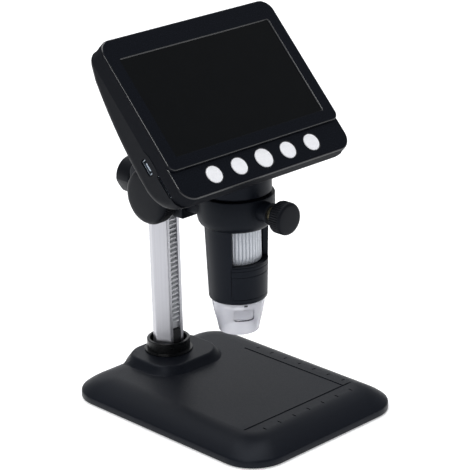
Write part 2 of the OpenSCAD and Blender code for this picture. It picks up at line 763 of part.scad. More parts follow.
// outside of the barrel as radius and height, taken in by shrink
module barrel_side(shrink) polygon([[0, barrel_low], [barrel_foot_r - foot_round - shrink, barrel_low],
    [barrel_foot_r - 0.3 * foot_round - shrink, barrel_low + 0.3 * foot_round],
    [barrel_foot_r - shrink, barrel_low + foot_round], [barrel_r - shrink, taper_end],
    [barrel_r - shrink, barrel_top], [0, barrel_top]]);

module barrel_body(shrink) at_optic() rotate_extrude($fn = 128) barrel_side(shrink);

module barrel_housing() color("#17191c") difference() {
    union() {
        difference() {
            barrel_body(0);
            at_optic() {
                translate([0, 0, barrel_low - 1]) cylinder(h = led_seat + 1 - barrel_low, r = spigot_r + 0.1);
                translate([0, 0, led_z]) cylinder(h = 30, r = wheel_bore_r);
                translate([0, 0, led_seat + led_ledge])
                    cylinder(h = wheel_low - loose - ledge_t - led_seat - led_ledge, r = barrel_in_r);
                translate([0, 0, wheel_low - loose]) cylinder(h = 60, r = barrel_in_r);
            }
            difference() {
                at_optic() wedge(cover_half + 0.4, 30, cover_low, cover_high);
                barrel_body(cover_skin);
            }
        }
        intersection() {
            at_ears() translate([0, 0, barrel_top - ear_h]) cylinder(h = ear_h, r = ear_r);
            barrel_body(0.5);
        }
    }
    at_optic() wedge(window_half, 30, sill_z, ring_low + 4.5);
    at_ears() translate([0, 0, barrel_top - ear_h + 1]) cylinder(h = ear_h, r = screw_r - 0.2);
}

module barrel_front_cover() color("#191b1e") difference() {
    intersection() {
        barrel_body(0);
        at_optic() wedge(cover_half, 30, cover_low + 0.1, cover_high - 0.1);
    }
    barrel_body(cover_skin - fit);
    for (d = cover_grooves)
        at_optic() translate([0, 0, cover_high - d]) ring(barrel_r + 1, side_radius(cover_high - d) - 0.2, 0.35);
}

module focus_wheel() color("#cfd1d3") at_optic() difference() {
    translate([0, 0, wheel_low]) linear_extrude(wheel_high - wheel_low) polygon([for (i = [0:wheel_ribs - 1])
        each [for (s = [[0, -0.3], [0, 0.3], [0.55, 0.42], [0.55, 0.58]])
            arc(wheel_r - s[0], (i + s[1] + 0.3) * 360 / wheel_ribs)]]);
    translate([0, 0, wheel_low - 1]) cylinder(h = wheel_high - wheel_low + 2, r = wheel_bore_r);
}

module wheel_retainer() color("#202225") at_optic() translate([0, 0, wheel_high + loose])
    ring(barrel_in_r - fit, wheel_bore_r, retainer_t);

module lens_carrier() color("#26282b") at_optic() difference() {
    translate([0, 0, carrier_low]) cylinder(h = carrier_high - carrier_low, r = carrier_r);
    translate([0, 0, carrier_low + 3]) cylinder(h = carrier_high, r = lens_r + 0.6);
    translate([0, 0, carrier_low - 1]) cylinder(h = 5, r = lens_r + fit);
}

module objective_lens() color("#9fb6c4") at_optic() translate([0, 0, carrier_low + 0.4]) cylinder(h = 2.4, r = lens_r);

module sensor_board() color("#1f5a3a") at_optic() translate([0, 0, sensor_z]) {
    cylinder(h = sensor_t, r = barrel_in_r - fit);
    translate([-4, -4, -0.9]) cube([8, 8, 1]);
}

module led_board() color("#e8e8e4") at_optic() translate([0, 0, led_z]) ring(spigot_r + 0.1 - fit, lens_r, led_t);

module illumination_leds() color("#f4efcf") at_optic() for (i = [0:7])
    rotate(i * 45) translate([led_at, 0, led_z - 1.6]) cylinder(h = 1.6, r = led_r, $fn = 32);

module nose_cone() color("#dfe3e6", 0.5) at_optic() {
    tip_z = nose_z - nose_len;
    growth = nose_top_r - nose_tip_r;
    difference() {
        rotate_extrude($fn = 96) polygon(concat(
            [[nose_tip_r - nose_wall, tip_z], [nose_tip_r - nose_rim, tip_z], [nose_tip_r, tip_z + nose_rim]],
            [for (s = nose_side) [nose_tip_r + s[0] * growth, tip_z + s[1] * nose_len]],
            [[nose_top_r, nose_z], [spigot_r, nose_z], [spigot_r, nose_z + spigot_len],
                [spigot_r - spigot_wall, nose_z + spigot_len], [spigot_r - spigot_wall, nose_z - 1]],
            [for (i = [2, 1, 0])
                [nose_tip_r + nose_side[i][0] * growth - nose_wall, tip_z + nose_side[i][1] * nose_len]]));
        for (a = [-31, 149]) rotate(a)
            translate([-nose_gap_w / 2, -20, nose_z - nose_gap_top - nose_gap_h])
                cube([nose_gap_w, 12, nose_gap_h]);
    }
}

module camera_ribbon() color("#c7873a") at_optic()
    translate([-4, -0.15, sensor_z + sensor_t]) cube([8, 0.3, head_z - 21.5 - sensor_z - sensor_t]);

// ---------- display head ----------

// bar along x with rounded ends
module roller(r, half) rotate([0, 90, 0]) rotate_extrude($fn = 48) polygon(concat([[0, -half]],
    [for (a = [0:22.5:90]) [r - side_r + side_r * sin(a), -half + side_r - side_r * cos(a)]],
    [for (a = [90:-22.5:0]) [r - side_r + side_r * sin(a), half - side_r + side_r * cos(a)]],
    [[0, half]]));

// solid outside of the rear shell, taken in by shrink
module rear_form(shrink) difference() {
    hull() {
        $fn = hull_fn;
        translate([0, -head_down + heel_r, -heel_depth + heel_r]) roller(heel_r - shrink, head_w / 2 - shrink);
        for (i = [1:back_steps]) let (run = i * (head_up + head_down - heel_r - brow_r) / (back_steps + 1))
            translate([0, -head_down + heel_r + run, -heel_depth + run * run / (2 * back_r) + side_r + shrink])
                roller(side_r, head_w / 2 - shrink);
        translate([0, head_up - 0.3 - brow_r, -brow_depth + brow_r])
            roller(max(brow_r - shrink, side_r), head_w / 2 - shrink);
        translate([0, 0, -seam - 0.6]) linear_extrude(0.6)
            plate(head_w - 2 * shrink, -head_down + shrink, head_up - shrink, head_corner - shrink, frame_corner);
    }
    translate([0, 0, -seam]) linear_extrude(40) square([200, 200], center = true);
}

module posts(r, z0, z1) for (s = [-1, 1], i = [0, 1])
    translate([s * post_x[i], post_y[i], z0]) cylinder(h = z1 - z0, r = r);

module seam_tab(grow) intersection() {
    translate([-head_w / 2 - 1, tab_y - tab_half, -seam - 0.5]) cube([3.2, 2 * tab_half, tab_rise + 2]);
    translate([-head_w / 2 + 0.1 - grow, tab_y, -seam + tab_rise - tab_r])
        rotate([0, 90, 0]) cylinder(h = 2 + 2 * grow, r = tab_r + grow, $fn = 192);
}

module side_ports() {
    translate([-head_w / 2 - 1, port_y - 4.3, port_z - 1.7]) cube([head_wall + 3, 8.6, 3.4]);
    translate([-head_w / 2 - 1, card_y - card_size[1] / 2 - 0.1, board_back - card_size[2] - 0.1])
        cube([head_wall + 3, card_size[1] + 0.2, card_size[2] + 0.2]);
}

module rear_shell() color("#2b2e33") difference() {
    in_head() shell_with_posts();
    at_optic() translate([0, 0, ring_top]) cylinder(h = 32, r = ribbon_hole_r);
}

module shell_with_posts() difference() {
    union() {
        difference() {
            rear_form(0);
            rear_form(head_wall);
            translate([0, 0, -seam - 2]) linear_extrude(4)
                plate(inner_w, -head_down + head_wall, head_up - head_wall,
                    head_corner - head_wall, frame_corner - head_wall);
        }
        intersection() {
            rear_form(0);
            union() {
                posts(post_back_r, -heel_depth, -seam);
                for (y = [3, battery_size[1] - 5])
                    translate([battery_at[0] + 2, battery_at[1] + y, -heel_depth])
                        cube([battery_size[0] - 4, rib_t, heel_depth + battery_back]);
                for (x = [6, 15])
                    translate([-head_w / 2 + x, -32, -heel_depth])
                        cube([rib_t, 18, heel_depth + charge_board_z - charge_board_t]);
                for (s = [-1, 1])
                    translate([s * neck_at[0], neck_at[1], -heel_depth]) cylinder(h = head_wall + 2, r = neck_post_r);
            }
        }
        seam_tab(0);
    }
    posts(screw_r, -heel_depth - 1, -seam + 1);
    posts(well_r, -heel_depth - 1, -seam - post_depth);
    for (s = [-1, 1]) translate([s * neck_at[0], neck_at[1], -heel_depth - 1]) cylinder(h = 12, r = screw_r);
    side_ports();
}

module bezel_form() union() {
    hull() {
        $fn = hull_fn;
        for (s = [[0, -seam], [0.25, -panel_back - 1.2], [0.6, -panel_back - 0.4], [1.3, -panel_back - sliver]])
            translate([0, 0, s[1]]) linear_extrude(sliver)
                plate(head_w - 2 * s[0] - (seam + s[1]) * draft, -head_down + s[0], head_up - s[0] - 0.2,
                    head_corner - s[0], frame_corner - s[0]);
    }
    hull() {
        $fn = hull_fn;
        for (s = [[0, -3], [0, frame_proud - 0.7], [0.3, frame_proud - 0.25], [0.9, frame_proud - sliver]])
            translate([0, 0, s[1]]) linear_extrude(sliver)
                plate(head_w - 2 * s[0] - (seam + s[1]) * draft, -frame_down + s[0], head_up - s[0],
                    frame_low_corner - s[0], frame_corner - s[0]);
    }
}

module at_button(i) translate([i * button_pitch, -button_down, 0]) children();

module at_key_posts() for (s = [-1, 1]) translate([s * 1.5 * button_pitch, -button_down, 0]) children();

module front_bezel() color("#1c1f26") in_head() difference() {
    union() {
        difference() {
            bezel_form();
            translate([0, 0, -seam - 1]) linear_extrude(seam + 1 - window_seat)
                plate(inner_w, -frame_down + head_wall, head_up - head_wall, 1, frame_corner - head_wall);
            translate([0, 0, -seam - 1]) linear_extrude(seam + 1 + panel_in)
                plate(inner_w, -head_down + head_wall, head_up - head_wall - 3, head_corner - head_wall, 4);
        }
        posts(post_r, -seam, -window_seat - 0.1);
        at_key_posts() translate([0, 0, key_board_z]) cylinder(h = panel_in + 0.1 - key_board_z, r = 2);
    }
    translate([0, 0, -window_seat - 1]) linear_extrude(window_seat + 1)
        square([2 * seat_w, 2 * seat_h], center = true);
    hull() {
        translate([0, 0, -0.1]) linear_extrude(sliver) square([view_w, view_h], center = true);
        translate([0, 0, frame_proud + 0.1]) linear_extrude(sliver)
            square([view_w + 1.8, view_h + 1.8], center = true);
    }
    for (i = [-2:2]) at_button(i) translate([0, 0, panel_in - 1]) cylinder(h = 6, r = cap_radius(i) + loose);
    posts(screw_r - 0.2, -seam - 1, -seam + 4.5);
    at_key_posts() translate([0, 0, key_board_z - 1]) cylinder(h = 3, r = 0.8);
    seam_tab(0.08);
    side_ports();
}

module display_window() color("#0c0d10") in_head() translate([0, 0, -window_t])
    linear_extrude(window_t) square([2 * seat_w - 0.1, 2 * seat_h - 0.1], center = true);

module lcd_panel() color("#3a3d42") in_head() translate([0, 0, bracket_z])
    linear_extrude(lcd_t) square([lcd_w, lcd_h], center = true);

module at_bracket() for (x = [-bracket_x, bracket_x], y = bracket_y) translate([x, y, 0]) children();

module lcd_bracket() color("#a5a8ac") in_head() difference() {
    union() {
        translate([0, 0, bracket_z - bracket_t]) linear_extrude(bracket_t) square([lcd_w, lcd_h], center = true);
        at_bracket() translate([0, 0, board_z]) cylinder(h = bracket_z - board_z, r = 2);
    }
    at_bracket() translate([0, 0, board_z - 1]) cylinder(h = 2.2, r = 0.8);
    posts(post_r + 0.1, -seam, 0);
}

module main_board() color("#1d6b43") in_head() difference() {
    union() {
        translate([-head_w / 2 + 8.5, -31, board_back]) cube([head_w - 19, 57, board_t]);
        translate([-head_w / 2 + 3.4, card_y - card_size[1] / 2, board_back])
            cube([main_tab[0], main_tab[1], board_t]);
        translate([-7, -22.5, board_back - 1.6]) cube([14, 4, 1.7]);
        translate([14, 4, board_back - 0.5]) cube([12, 12, 0.6]);
    }
    at_bracket() translate([0, 0, board_back - 1]) cylinder(h = 4, r = screw_r);
    posts(post_r + 0.5, -20, 0);
}

module card_slot() color("#b9bcc0") in_head() difference() {
    translate([-head_w / 2 + 0.6, card_y - card_size[1] / 2, board_back - card_size[2]]) cube(card_size);
    translate([-head_w / 2, card_y - card_mouth[1] / 2, board_back - card_size[2] + 0.3]) cube(card_mouth);
}

module charge_board() color("#1d6b43") in_head()
    translate([-head_w / 2 + 3, port_y - 9, charge_board_z - charge_board_t]) cube([17, 18, charge_board_t]);

module charge_port() color("#c9ccd0") in_head() {
    translate([port_x, port_y, charge_board_z]) difference() {
        translate([0, -port_size[1] / 2, 0]) cube(port_size);
        translate([-1, -port_size[1] / 2 + 0.35, 0.35])
            cube([port_size[0] + 0.2, port_size[1] - 0.7, port_size[2] - 0.7]);
    }
    translate([port_x + 0.5, port_y - 2.1, charge_board_z + 0.9]) cube([port_size[0] - 0.5, 4.2, 0.8]);
}

module battery() color("#7f8890") in_head()
    translate([battery_at[0], battery_at[1], battery_back]) cube(battery_size);

module button_board() color("#1d6b43") in_head() difference() {
    translate([-key_board_half, -button_down - 4, key_board_z - key_board_t])
        cube([2 * key_board_half, 8, key_board_t]);
    at_key_posts() translate([0, 0, key_board_z - 3]) cylinder(h = 4, r = screw_r);
}

module board_screws() color("#a2a5a9") in_head() {
    at_bracket() translate([0, 0, board_back - 1]) {
        cylinder(h = 1, r = 1.8);
        cylinder(h = board_t + 2, r = 0.75);
    }
    at_key_posts() translate([0, 0, key_board_z - key_board_t - 1]) {
        cylinder(h = 1, r = 1.8);
        cylinder(h = key_board_t + 2.8, r = 0.75);
    }
}

module tact_switches() color("#c9c4b4") in_head() for (i = [-2:2]) at_button(i) {
    translate([-2.2, -2.2, key_board_z]) cube([4.4, 4.4, 0.9]);
    translate([0, 0, key_board_z]) cylinder(h = switch_top - key_board_z, r = 1);
}

module housing_screws() color("#a2a5a9") in_head() {
    posts(screw_head_r, -seam - post_depth - screw_head_t, -seam - post_depth);
    posts(screw_r - 0.2 - fit, -seam - post_depth - 0.1, -seam + 4.2);
}

module button_cap(i) color("#d9dadb") in_head() at_button(i) {
    translate([0, 0, panel_in]) cylinder(h = cap_z - panel_in, r = cap_radius(i));
    translate([0, 0, panel_in - 0.8]) cylinder(h = 0.8, r = cap_radius(i) + flange_out);
    translate([0, 0, stem_end]) cylinder(h = panel_in - stem_end, r = 1.5);
}

base_shell();
base_bottom_cover();
base_ballast_plate();
base_feet();
base_cover_screws();
column();
column_collar();
column_top_cap();
column_foot_bolt();
column_slot_plug();
rack_strip();
carriage_body();
carriage_bushes();
pinion_shaft();
focus_knob_left();
focus_knob_right();
lock_screw();
lock_knob();
lock_shoe();
clamp_ring();
clamp_ring_screws();
clamp_insert();
clamp_pad();
clamp_screw();
clamp_knob();
neck_housing();
neck_screws();
barrel_housing();
barrel_front_cover();
barrel_screws();
focus_wheel();
wheel_retainer();
lens_carrier();
objective_lens();
sensor_board();
led_board();
illumination_leds();
nose_cone();
camera_ribbon();
rear_shell();
front_bezel();
display_window();
lcd_panel();
lcd_bracket();
main_board();
card_slot();
charge_board();
charge_port();
battery();
button_board();
board_screws();
tact_switches();
housing_screws();
button_cap(-2);  // button_menu
button_cap(-1);  // button_up
button_cap(0);  // button_ok
button_cap(1);  // button_down
button_cap(2);  // button_power
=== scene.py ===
# %% [markdown]
# # Dressing a desktop digital microscope
# The object is a small screen and a camera barrel on a rack-and-pinion stand. The exact solids already
# exist, packed as a frame of bodies and joints. This lesson gives that frame its looks: rounder mouldings,
# knurled knobs, clear plastic, anodised aluminium. Everything is worked out in millimetres and scaled to
# metres once, at the end of each piece, because whole numbers are easier to read and to check.

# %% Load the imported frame
import math

import bmesh
import bpy
from mathutils import Matrix, Vector


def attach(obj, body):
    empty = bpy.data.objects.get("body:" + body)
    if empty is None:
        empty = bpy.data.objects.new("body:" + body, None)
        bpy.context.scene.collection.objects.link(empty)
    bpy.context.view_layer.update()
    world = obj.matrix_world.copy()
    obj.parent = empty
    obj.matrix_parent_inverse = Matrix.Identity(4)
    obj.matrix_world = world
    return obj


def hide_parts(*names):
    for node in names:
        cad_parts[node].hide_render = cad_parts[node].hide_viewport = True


MM_PER_METRE = 1000
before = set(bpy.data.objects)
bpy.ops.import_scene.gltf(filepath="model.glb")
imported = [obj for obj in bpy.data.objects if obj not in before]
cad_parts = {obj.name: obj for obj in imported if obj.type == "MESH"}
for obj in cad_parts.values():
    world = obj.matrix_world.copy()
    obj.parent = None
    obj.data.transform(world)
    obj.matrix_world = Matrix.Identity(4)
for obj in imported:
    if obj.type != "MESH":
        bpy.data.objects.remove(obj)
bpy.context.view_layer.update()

# %% [markdown]
# ## The camera
# A long lens far away keeps the uprights nearly parallel, as a product shot does. The camera is described
# by the point that it looks at, the direction it stands in and a small roll. Its three axes are written
# into a matrix, so no constraint or empty is needed.

# %% Place the camera
TARGET = Vector((0, -2.25, 94.2))
AZIMUTH, ELEVATION, ROLL = math.radians(-43.69), math.radians(20.03), math.radians(-1.58)
DISTANCE = 993.0

level = Vector((math.cos(AZIMUTH), math.sin(AZIMUTH), 0))
back = Vector((math.sin(AZIMUTH) * math.cos(ELEVATION), -math.cos(AZIMUTH) * math.cos(ELEVATION),
               math.sin(ELEVATION)))
upward = back.cross(level)
right = level * math.cos(ROLL) + upward * math.sin(ROLL)
top = upward * math.cos(ROLL) - level * math.sin(ROLL)
place = (TARGET + back * DISTANCE) / MM_PER_METRE

camera_data = bpy.data.cameras.new("camera")
camera_data.lens = 156.0
camera_data.shift_x = 0.0137
camera_data.shift_y = -0.0218
camera_data.clip_end = 20
camera = bpy.data.objects.new("camera", camera_data)
camera.matrix_world = Matrix(((right.x, top.x, back.x, place.x), (right.y, top.y, back.y, place.y),
                              (right.z, top.z, back.z, place.z), (0, 0, 0, 1)))
bpy.context.scene.collection.objects.link(camera)
bpy.context.scene.camera = camera
bpy.context.scene.view_settings.view_transform = "Standard"
print("camera at", [round(v, 3) for v in place])

# %% [markdown]
# ## Colours and nodes
# Designers write colours as sRGB hex codes, but shaders add up light, which is linear. One function turns
# one into the other. A second adds any node and fills its sockets with values or links, so each material
# below reads as a list of what feeds what.

# %% Helpers for materials
def linear(code):
    """Turns an sRGB hex colour such as "#1c1f26" into the linear RGBA that a shader uses."""
    parts = [int(code[i:i + 2], 16) / 255 for i in (1, 3, 5)]
    return tuple(c / 12.92 if c <= 0.04045 else ((c + 0.055) / 1.055) ** 2.4 for c in parts) + (1,)


def add(tree, kind, inputs=()):
    """Adds one node. inputs maps a socket to a value or to another node's output."""
    made = tree.nodes.new(kind)
    for key, value in dict(inputs).items():
        if isinstance(value, bpy.types.NodeSocket):
            tree.links.new(value, made.inputs[key])
        else:
            made.inputs[key].default_value = value
    return made


def started(name):
    """A new material with its node tree and its shader."""
    material = bpy.data.materials.new(name)
    material.use_nodes = True
    return material, material.node_tree, material.node_tree.nodes["Principled BSDF"]


print("linear of mid grey", round(linear("#808080")[0], 3))

# %% [markdown]
# ## One recipe for most finishes
# A moulded, turned or brushed surface is never one flat colour. Its tone wanders a little, its gloss is
# uneven, and its skin has a grain. One noise at the grain's real size in millimetres can drive all three.
# Stretching the noise along an axis turns grain into the drawn lines of an extrusion or a turned face.

# %% A material from a grain
def finish(name, light, dark, grain, roughness, spread, bump, stretch=(1, 1, 1), **sockets):
    """grain and bump are in millimetres; light and dark are the two tones that the grain mixes."""
    material, tree, shader = started(name)
    where = add(tree, "ShaderNodeTexCoord")
    turn = add(tree, "ShaderNodeMapping", {"Vector": where.outputs["Object"], "Scale": stretch})
    noise = add(tree, "ShaderNodeTexNoise", {"Vector": turn.outputs[0], "Scale": MM_PER_METRE / grain,
                                             "Detail": 3.0})
    tone = add(tree, "ShaderNodeValToRGB", {"Fac": noise.outputs[0]})
    tone.color_ramp.elements[0].position = 0.35
    tone.color_ramp.elements[1].position = 0.65
    tone.color_ramp.elements[0].color = linear(dark)
    tone.color_ramp.elements[1].color = linear(light)
    gloss = add(tree, "ShaderNodeMapRange", {"Value": noise.outputs[0], "From Min": 0.3, "From Max": 0.7,
                                             "To Min": roughness - spread, "To Max": roughness + spread})
    relief = add(tree, "ShaderNodeBump", {"Height": noise.outputs[0], "Distance": bump / MM_PER_METRE,
                                          "Strength": 1.0})
    tree.links.new(tone.outputs[0], shader.inputs["Base Color"])
    tree.links.new(gloss.outputs[0], shader.inputs["Roughness"])
    tree.links.new(relief.outputs[0], shader.inputs["Normal"])
    for key, value in sockets.items():
        shader.inputs[key.replace("_", " ")].default_value = value
    return material


print("a grain of 0.5 mm has a noise scale of", MM_PER_METRE / 0.5)

# %% [markdown]
# ## Black mouldings
# The housings are ABS whose mould was eroded by sparks, which leaves a fine satin skin. Black shows mostly
# what it reflects, so what tells one moulding from the next is how strong and how blurred that reflection
# is. The real grain is about 0.1 mm. It is drawn at about 0.5 mm, so that it still shows. The front bezel
# has three finishes: a satin face, duller drafted sides, and a polished edge that draws a bright line.

# %% ABS, painted casting, nylon and rubber
# The specular tints of the black mouldings colour their reflections faintly blue: a painted reflection of a
# blue sky.
COOL_SKY_REFLECTION_TINT = linear("#dde5f4")
base_plastic = finish("satin_moulded_abs_base", "#12151c", "#0f1117", 0.6, 0.42, 0.05, 0.010,
                      IOR=1.5, Specular_IOR_Level=0.17, Specular_Tint=linear("#dfe6f2"))
bezel_plastic = finish("fine_grain_abs_bezel", "#0a0c12", "#080a0f", 0.5, 0.25, 0.04, 0.003,
                       IOR=1.5, Specular_IOR_Level=0.20, Specular_Tint=linear("#d5dff2"))
bezel_side = finish("matte_moulded_abs_bezel_side", "#0b0e15", "#090b11", 0.5, 0.75, 0.05, 0.008,
                    IOR=1.5, Specular_IOR_Level=0.12)
bezel_edge = finish("polished_mould_edge_abs", "#0a0c12", "#080a0f", 0.5, 0.2, 0.02, 0.001,
                    IOR=1.5, Specular_IOR_Level=0.55)
rear_plastic = finish("matte_moulded_abs_rear", "#0c0d11", "#090a0e", 0.6, 0.52, 0.05, 0.010,
                      IOR=1.5, Specular_IOR_Level=0.13, Specular_Tint=COOL_SKY_REFLECTION_TINT)
barrel_plastic = finish("satin_moulded_abs_barrel", "#10131a", "#0d1016", 0.5, 0.42, 0.04, 0.006,
                        IOR=1.5, Specular_IOR_Level=0.14, Specular_Tint=COOL_SKY_REFLECTION_TINT)
# The carriage and the clamp ring are castings under a satin paint, whose drops flow into a coarser skin.
stand_plastic = finish("satin_painted_casting", "#0e1117", "#0b0e13", 0.7, 0.42, 0.04, 0.008,
                       IOR=1.5, Specular_IOR_Level=0.16, Specular_Tint=COOL_SKY_REFLECTION_TINT)
# Moulded nylon: a little waxy, so its highlights are broad and weak.
knob_plastic = finish("moulded_nylon_knob", "#0d0e12", "#0a0b0e", 0.5, 0.45, 0.05, 0.008,
                      IOR=1.53, Specular_IOR_Level=0.13, Specular_Tint=COOL_SKY_REFLECTION_TINT)
# The collar came from a polished mould: nearly smooth, with clear highlights on its rims.
collar_plastic = finish("polished_moulded_abs", "#08090b", "#060708", 1.5, 0.30, 0.04, 0.002,
                        IOR=1.5, Specular_IOR_Level=0.3)
# Hidden covers and carriers are coarse, dull polypropylene; the feet are chalky rubber.
cover_plastic = finish("textured_polypropylene", "#1a1b1d", "#151618", 1.0, 0.6, 0.08, 0.02, IOR=1.49)
rubber = finish("moulded_rubber", "#161616", "#101010", 0.4, 0.8, 0.08, 0.02, IOR=1.52)
# Uncoloured nylon is cream, and the switches' bodies are a warm grey.
nylon = finish("natural_nylon", "#ded9c9", "#d2ccba", 0.8, 0.45, 0.06, 0.01, IOR=1.53)
switch_plastic = finish("moulded_switch_plastic", "#c9c4b4", "#b8b3a3", 0.5, 0.4, 0.05, 0.006, IOR=1.5)
print(len(bpy.data.materials), "materials")

# %% [markdown]
# ## Metals
# A metal's colour is the colour of its reflection, and its making shows as lines: along a drawn bar, round
# a turned shaft, across a rolled plate. The noise is stretched along that direction. Metals keep the
# default IOR. The rack's zinc is dull and almost white, so it is only partly metallic.

# %% Metal finishes
aluminium = finish("anodised_drawn_aluminium", "#c0c0c5", "#bababf", 0.5, 0.42, 0.03, 0.001,
                   stretch=(1, 1, 0.01), Metallic=1.0)
rack_steel = finish("matte_zinc_plated_steel", "#e2e3e5", "#d2d3d6", 0.3, 0.55, 0.08, 0.004,
                    stretch=(0.15, 1, 1), Metallic=0.3)
shaft_steel = finish("ground_steel_shaft", "#c6c8cb", "#b2b4b8", 0.25, 0.28, 0.05, 0.003,
                     stretch=(0.2, 1, 1), Metallic=1.0)
screw_steel = finish("zinc_plated_screw", "#b4b7bb", "#a2a5aa", 0.4, 0.32, 0.06, 0.004, Metallic=1.0)
plate_steel = finish("rolled_steel_plate", "#8f9297", "#7c7f85", 1.2, 0.42, 0.08, 0.006,
                     stretch=(0.1, 1, 1), Metallic=1.0)
bracket_steel = finish("stamped_steel", "#a9acb0", "#989ba0", 0.9, 0.36, 0.06, 0.004,
                       stretch=(0.2, 1, 1), Metallic=1.0)
connector_steel = finish("tinned_connector_shell", "#b9c2cc", "#a3adb8", 0.5, 0.3, 0.06, 0.004, Metallic=1.0)
brass = finish("nickel_plated_brass", "#d6ccaa", "#c4ba99", 0.3, 0.3, 0.05, 0.004,
               stretch=(1, 0.2, 1), Metallic=1.0)
foil = finish("aluminised_pouch", "#9aa2aa", "#868e96", 2.5, 0.4, 0.1, 0.05, Metallic=0.9)
print(len(bpy.data.materials), "materials")

# %% [markdown]
# ## Small electronic parts
# These only show when the housing is open: the ribbon's amber film, with lines along it, the grey back of
# the display and the pale resin of the LEDs.

# %% Ribbon, display back and LED resin
ribbon_film = finish("polyimide_ribbon", "#c98a3c", "#b3762c", 0.6, 0.3, 0.05, 0.004,
                     stretch=(6, 1, 0.1), IOR=1.7)
lcd_back = finish("display_module_backlight", "#4a4d52", "#3c3f44", 1.0, 0.4, 0.06, 0.006, IOR=1.5)
led_white = finish("white_led_resin", "#f4f1de", "#e6e2cc", 0.6, 0.3, 0.05, 0.004, IOR=1.54)
print(len(bpy.data.materials), "materials")

# %% [markdown]
# ## Paint with flakes in it
# The caps and the focus wheel are plastic with a silver paint. Flakes lie at all angles in it, so close up
# it is a speckle of light and dark points. A Voronoi pattern gives every flake its own brightness. The
# caps are so pale that they read as white, so their paint isn't metallic.

# %% Silver paint
def silver_paint(name, light, dark, flake, roughness, metallic):
    """A paint whose cells of one flake, in millimetres, differ in brightness."""
    material, tree, shader = started(name)
    where = add(tree, "ShaderNodeTexCoord")
    cells = add(tree, "ShaderNodeTexVoronoi", {"Vector": where.outputs["Object"],
                                               "Scale": MM_PER_METRE / flake})
    level = add(tree, "ShaderNodeSeparateColor", {"Color": cells.outputs["Color"]})
    tone = add(tree, "ShaderNodeValToRGB", {"Fac": level.outputs[0]})
    tone.color_ramp.elements[0].color = linear(dark)
    tone.color_ramp.elements[1].color = linear(light)
    gloss = add(tree, "ShaderNodeMapRange", {"Value": level.outputs[1], "To Min": roughness - 0.07,
                                             "To Max": roughness + 0.07})
    tree.links.new(tone.outputs[0], shader.inputs["Base Color"])
    tree.links.new(gloss.outputs[0], shader.inputs["Roughness"])
    shader.inputs["Metallic"].default_value = metallic
    return material


# Real flakes are about 0.05 mm, which no pixel could show, so they are drawn far coarser.
FLAKE = 0.35
button_silver = silver_paint("silver_painted_cap", "#fbfbfd", "#eeeef1", FLAKE, 0.45, 0.0)
wheel_silver = silver_paint("silver_painted_wheel", "#cdd0d6", "#bcc0c7", FLAKE, 0.40, 0.3)
print("paints", button_silver.name, wheel_silver.name)

# %% [markdown]
# ## Clear plastic and glass
# The cone's plastic is clear and faintly lavender, but its thin wall catches the floor's light and reads
# half white, so its shader lets half the light through. Where a window is cut through the wall, light bends
# in its edge and it looks dark, so those faces get a grey of their own: painted shade. The display's glass
# is dark and lets nothing through, so a glossy solid colour does, and renders faster than real glass over a
# black panel.

# %% Clear plastic, ink, lens and display glass
clear_plastic = finish("clear_moulded_polycarbonate", "#f0f0f6", "#e8e8f0", 6.0, 0.10, 0.03, 0.004,
                       Transmission_Weight=0.5, IOR=1.45)
# A grey for the sides of the cone's windows: painted shade where light bends in the clear edge.
cone_edge_painted_shade = finish("clear_plastic_edge_painted_shade", "#85858d", "#77777f", 1.0, 0.3, 0.05, 0.004,
                    Transmission_Weight=0.2, IOR=1.45)
printed_mark = finish("pad_printed_ink", "#0c0c0e", "#09090b", 0.5, 0.5, 0.05, 0.002, IOR=1.5)
lens_glass = finish("coated_lens_glass", "#dfe9f4", "#cfdcec", 5.0, 0.03, 0.01, 0.0,
                    Transmission_Weight=1.0, IOR=1.52)
screen_glass = finish("dark_display_glass", "#030405", "#020304", 8.0, 0.09, 0.02, 0.001,
                      IOR=1.5, Specular_IOR_Level=0.22)
print(len(bpy.data.materials), "materials")

# %% [markdown]
# ## Circuit boards
# A board is green solder mask over copper. Where copper runs under the mask it looks lighter, so a brick
# pattern of thin tracks is enough for parts that only show when the housing is open. A brick is about
# 3.6 mm long and 1.4 mm high, the spacing of small parts.

# %% Circuit board
circuit_board, board_tree, board_shader = started("solder_mask_board")
where = add(board_tree, "ShaderNodeTexCoord")
tracks = add(board_tree, "ShaderNodeTexBrick", {
    "Vector": where.outputs["Object"], "Color1": linear("#1c6b42"), "Color2": linear("#175c38"),
    "Mortar": linear("#2f8a58"), "Scale": 250.0, "Mortar Size": 0.04, "Brick Width": 0.9,
    "Row Height": 0.35})
board_tree.links.new(tracks.outputs["Color"], board_shader.inputs["Base Color"])
board_shader.inputs["Roughness"].default_value = 0.3
print("board material", circuit_board.name)

# %% [markdown]
# ## Tools for making pieces
# A few helpers make nearly everything. `turned` spins a profile, as a lathe would. `lofted` bridges a stack
# of rounded rectangles, which is how most mouldings are drawn, and `ribbed` does the same with wavy
# circles, for knurls. `bridge` joins such rings with Blender's own bridge. It pairs points by distance, so
# it twists the base's flat nested rings, and `stitch` joins those by angle instead.

# %% Turned, lofted and ribbed solids
WELD = 1e-4


def turned(profile, steps=96, closed=True):
    """Spins (radius, height) points round Z. Closed, they are a ring; open, they start and end on the axis."""
    bm = bmesh.new()
    points = [bm.verts.new((r, 0, z)) for r, z in profile]
    pairs = list(zip(points, points[1:])) + ([(points[-1], points[0])] if closed else [])
    edges = [bm.edges.new(pair) for pair in pairs]
    bmesh.ops.spin(bm, geom=points + edges, cent=(0, 0, 0), axis=(0, 0, 1), angle=math.tau, steps=steps,
                   use_merge=True)
    bmesh.ops.remove_doubles(bm, verts=bm.verts, dist=WELD)
    bmesh.ops.recalc_face_normals(bm, faces=bm.faces)
    return bm


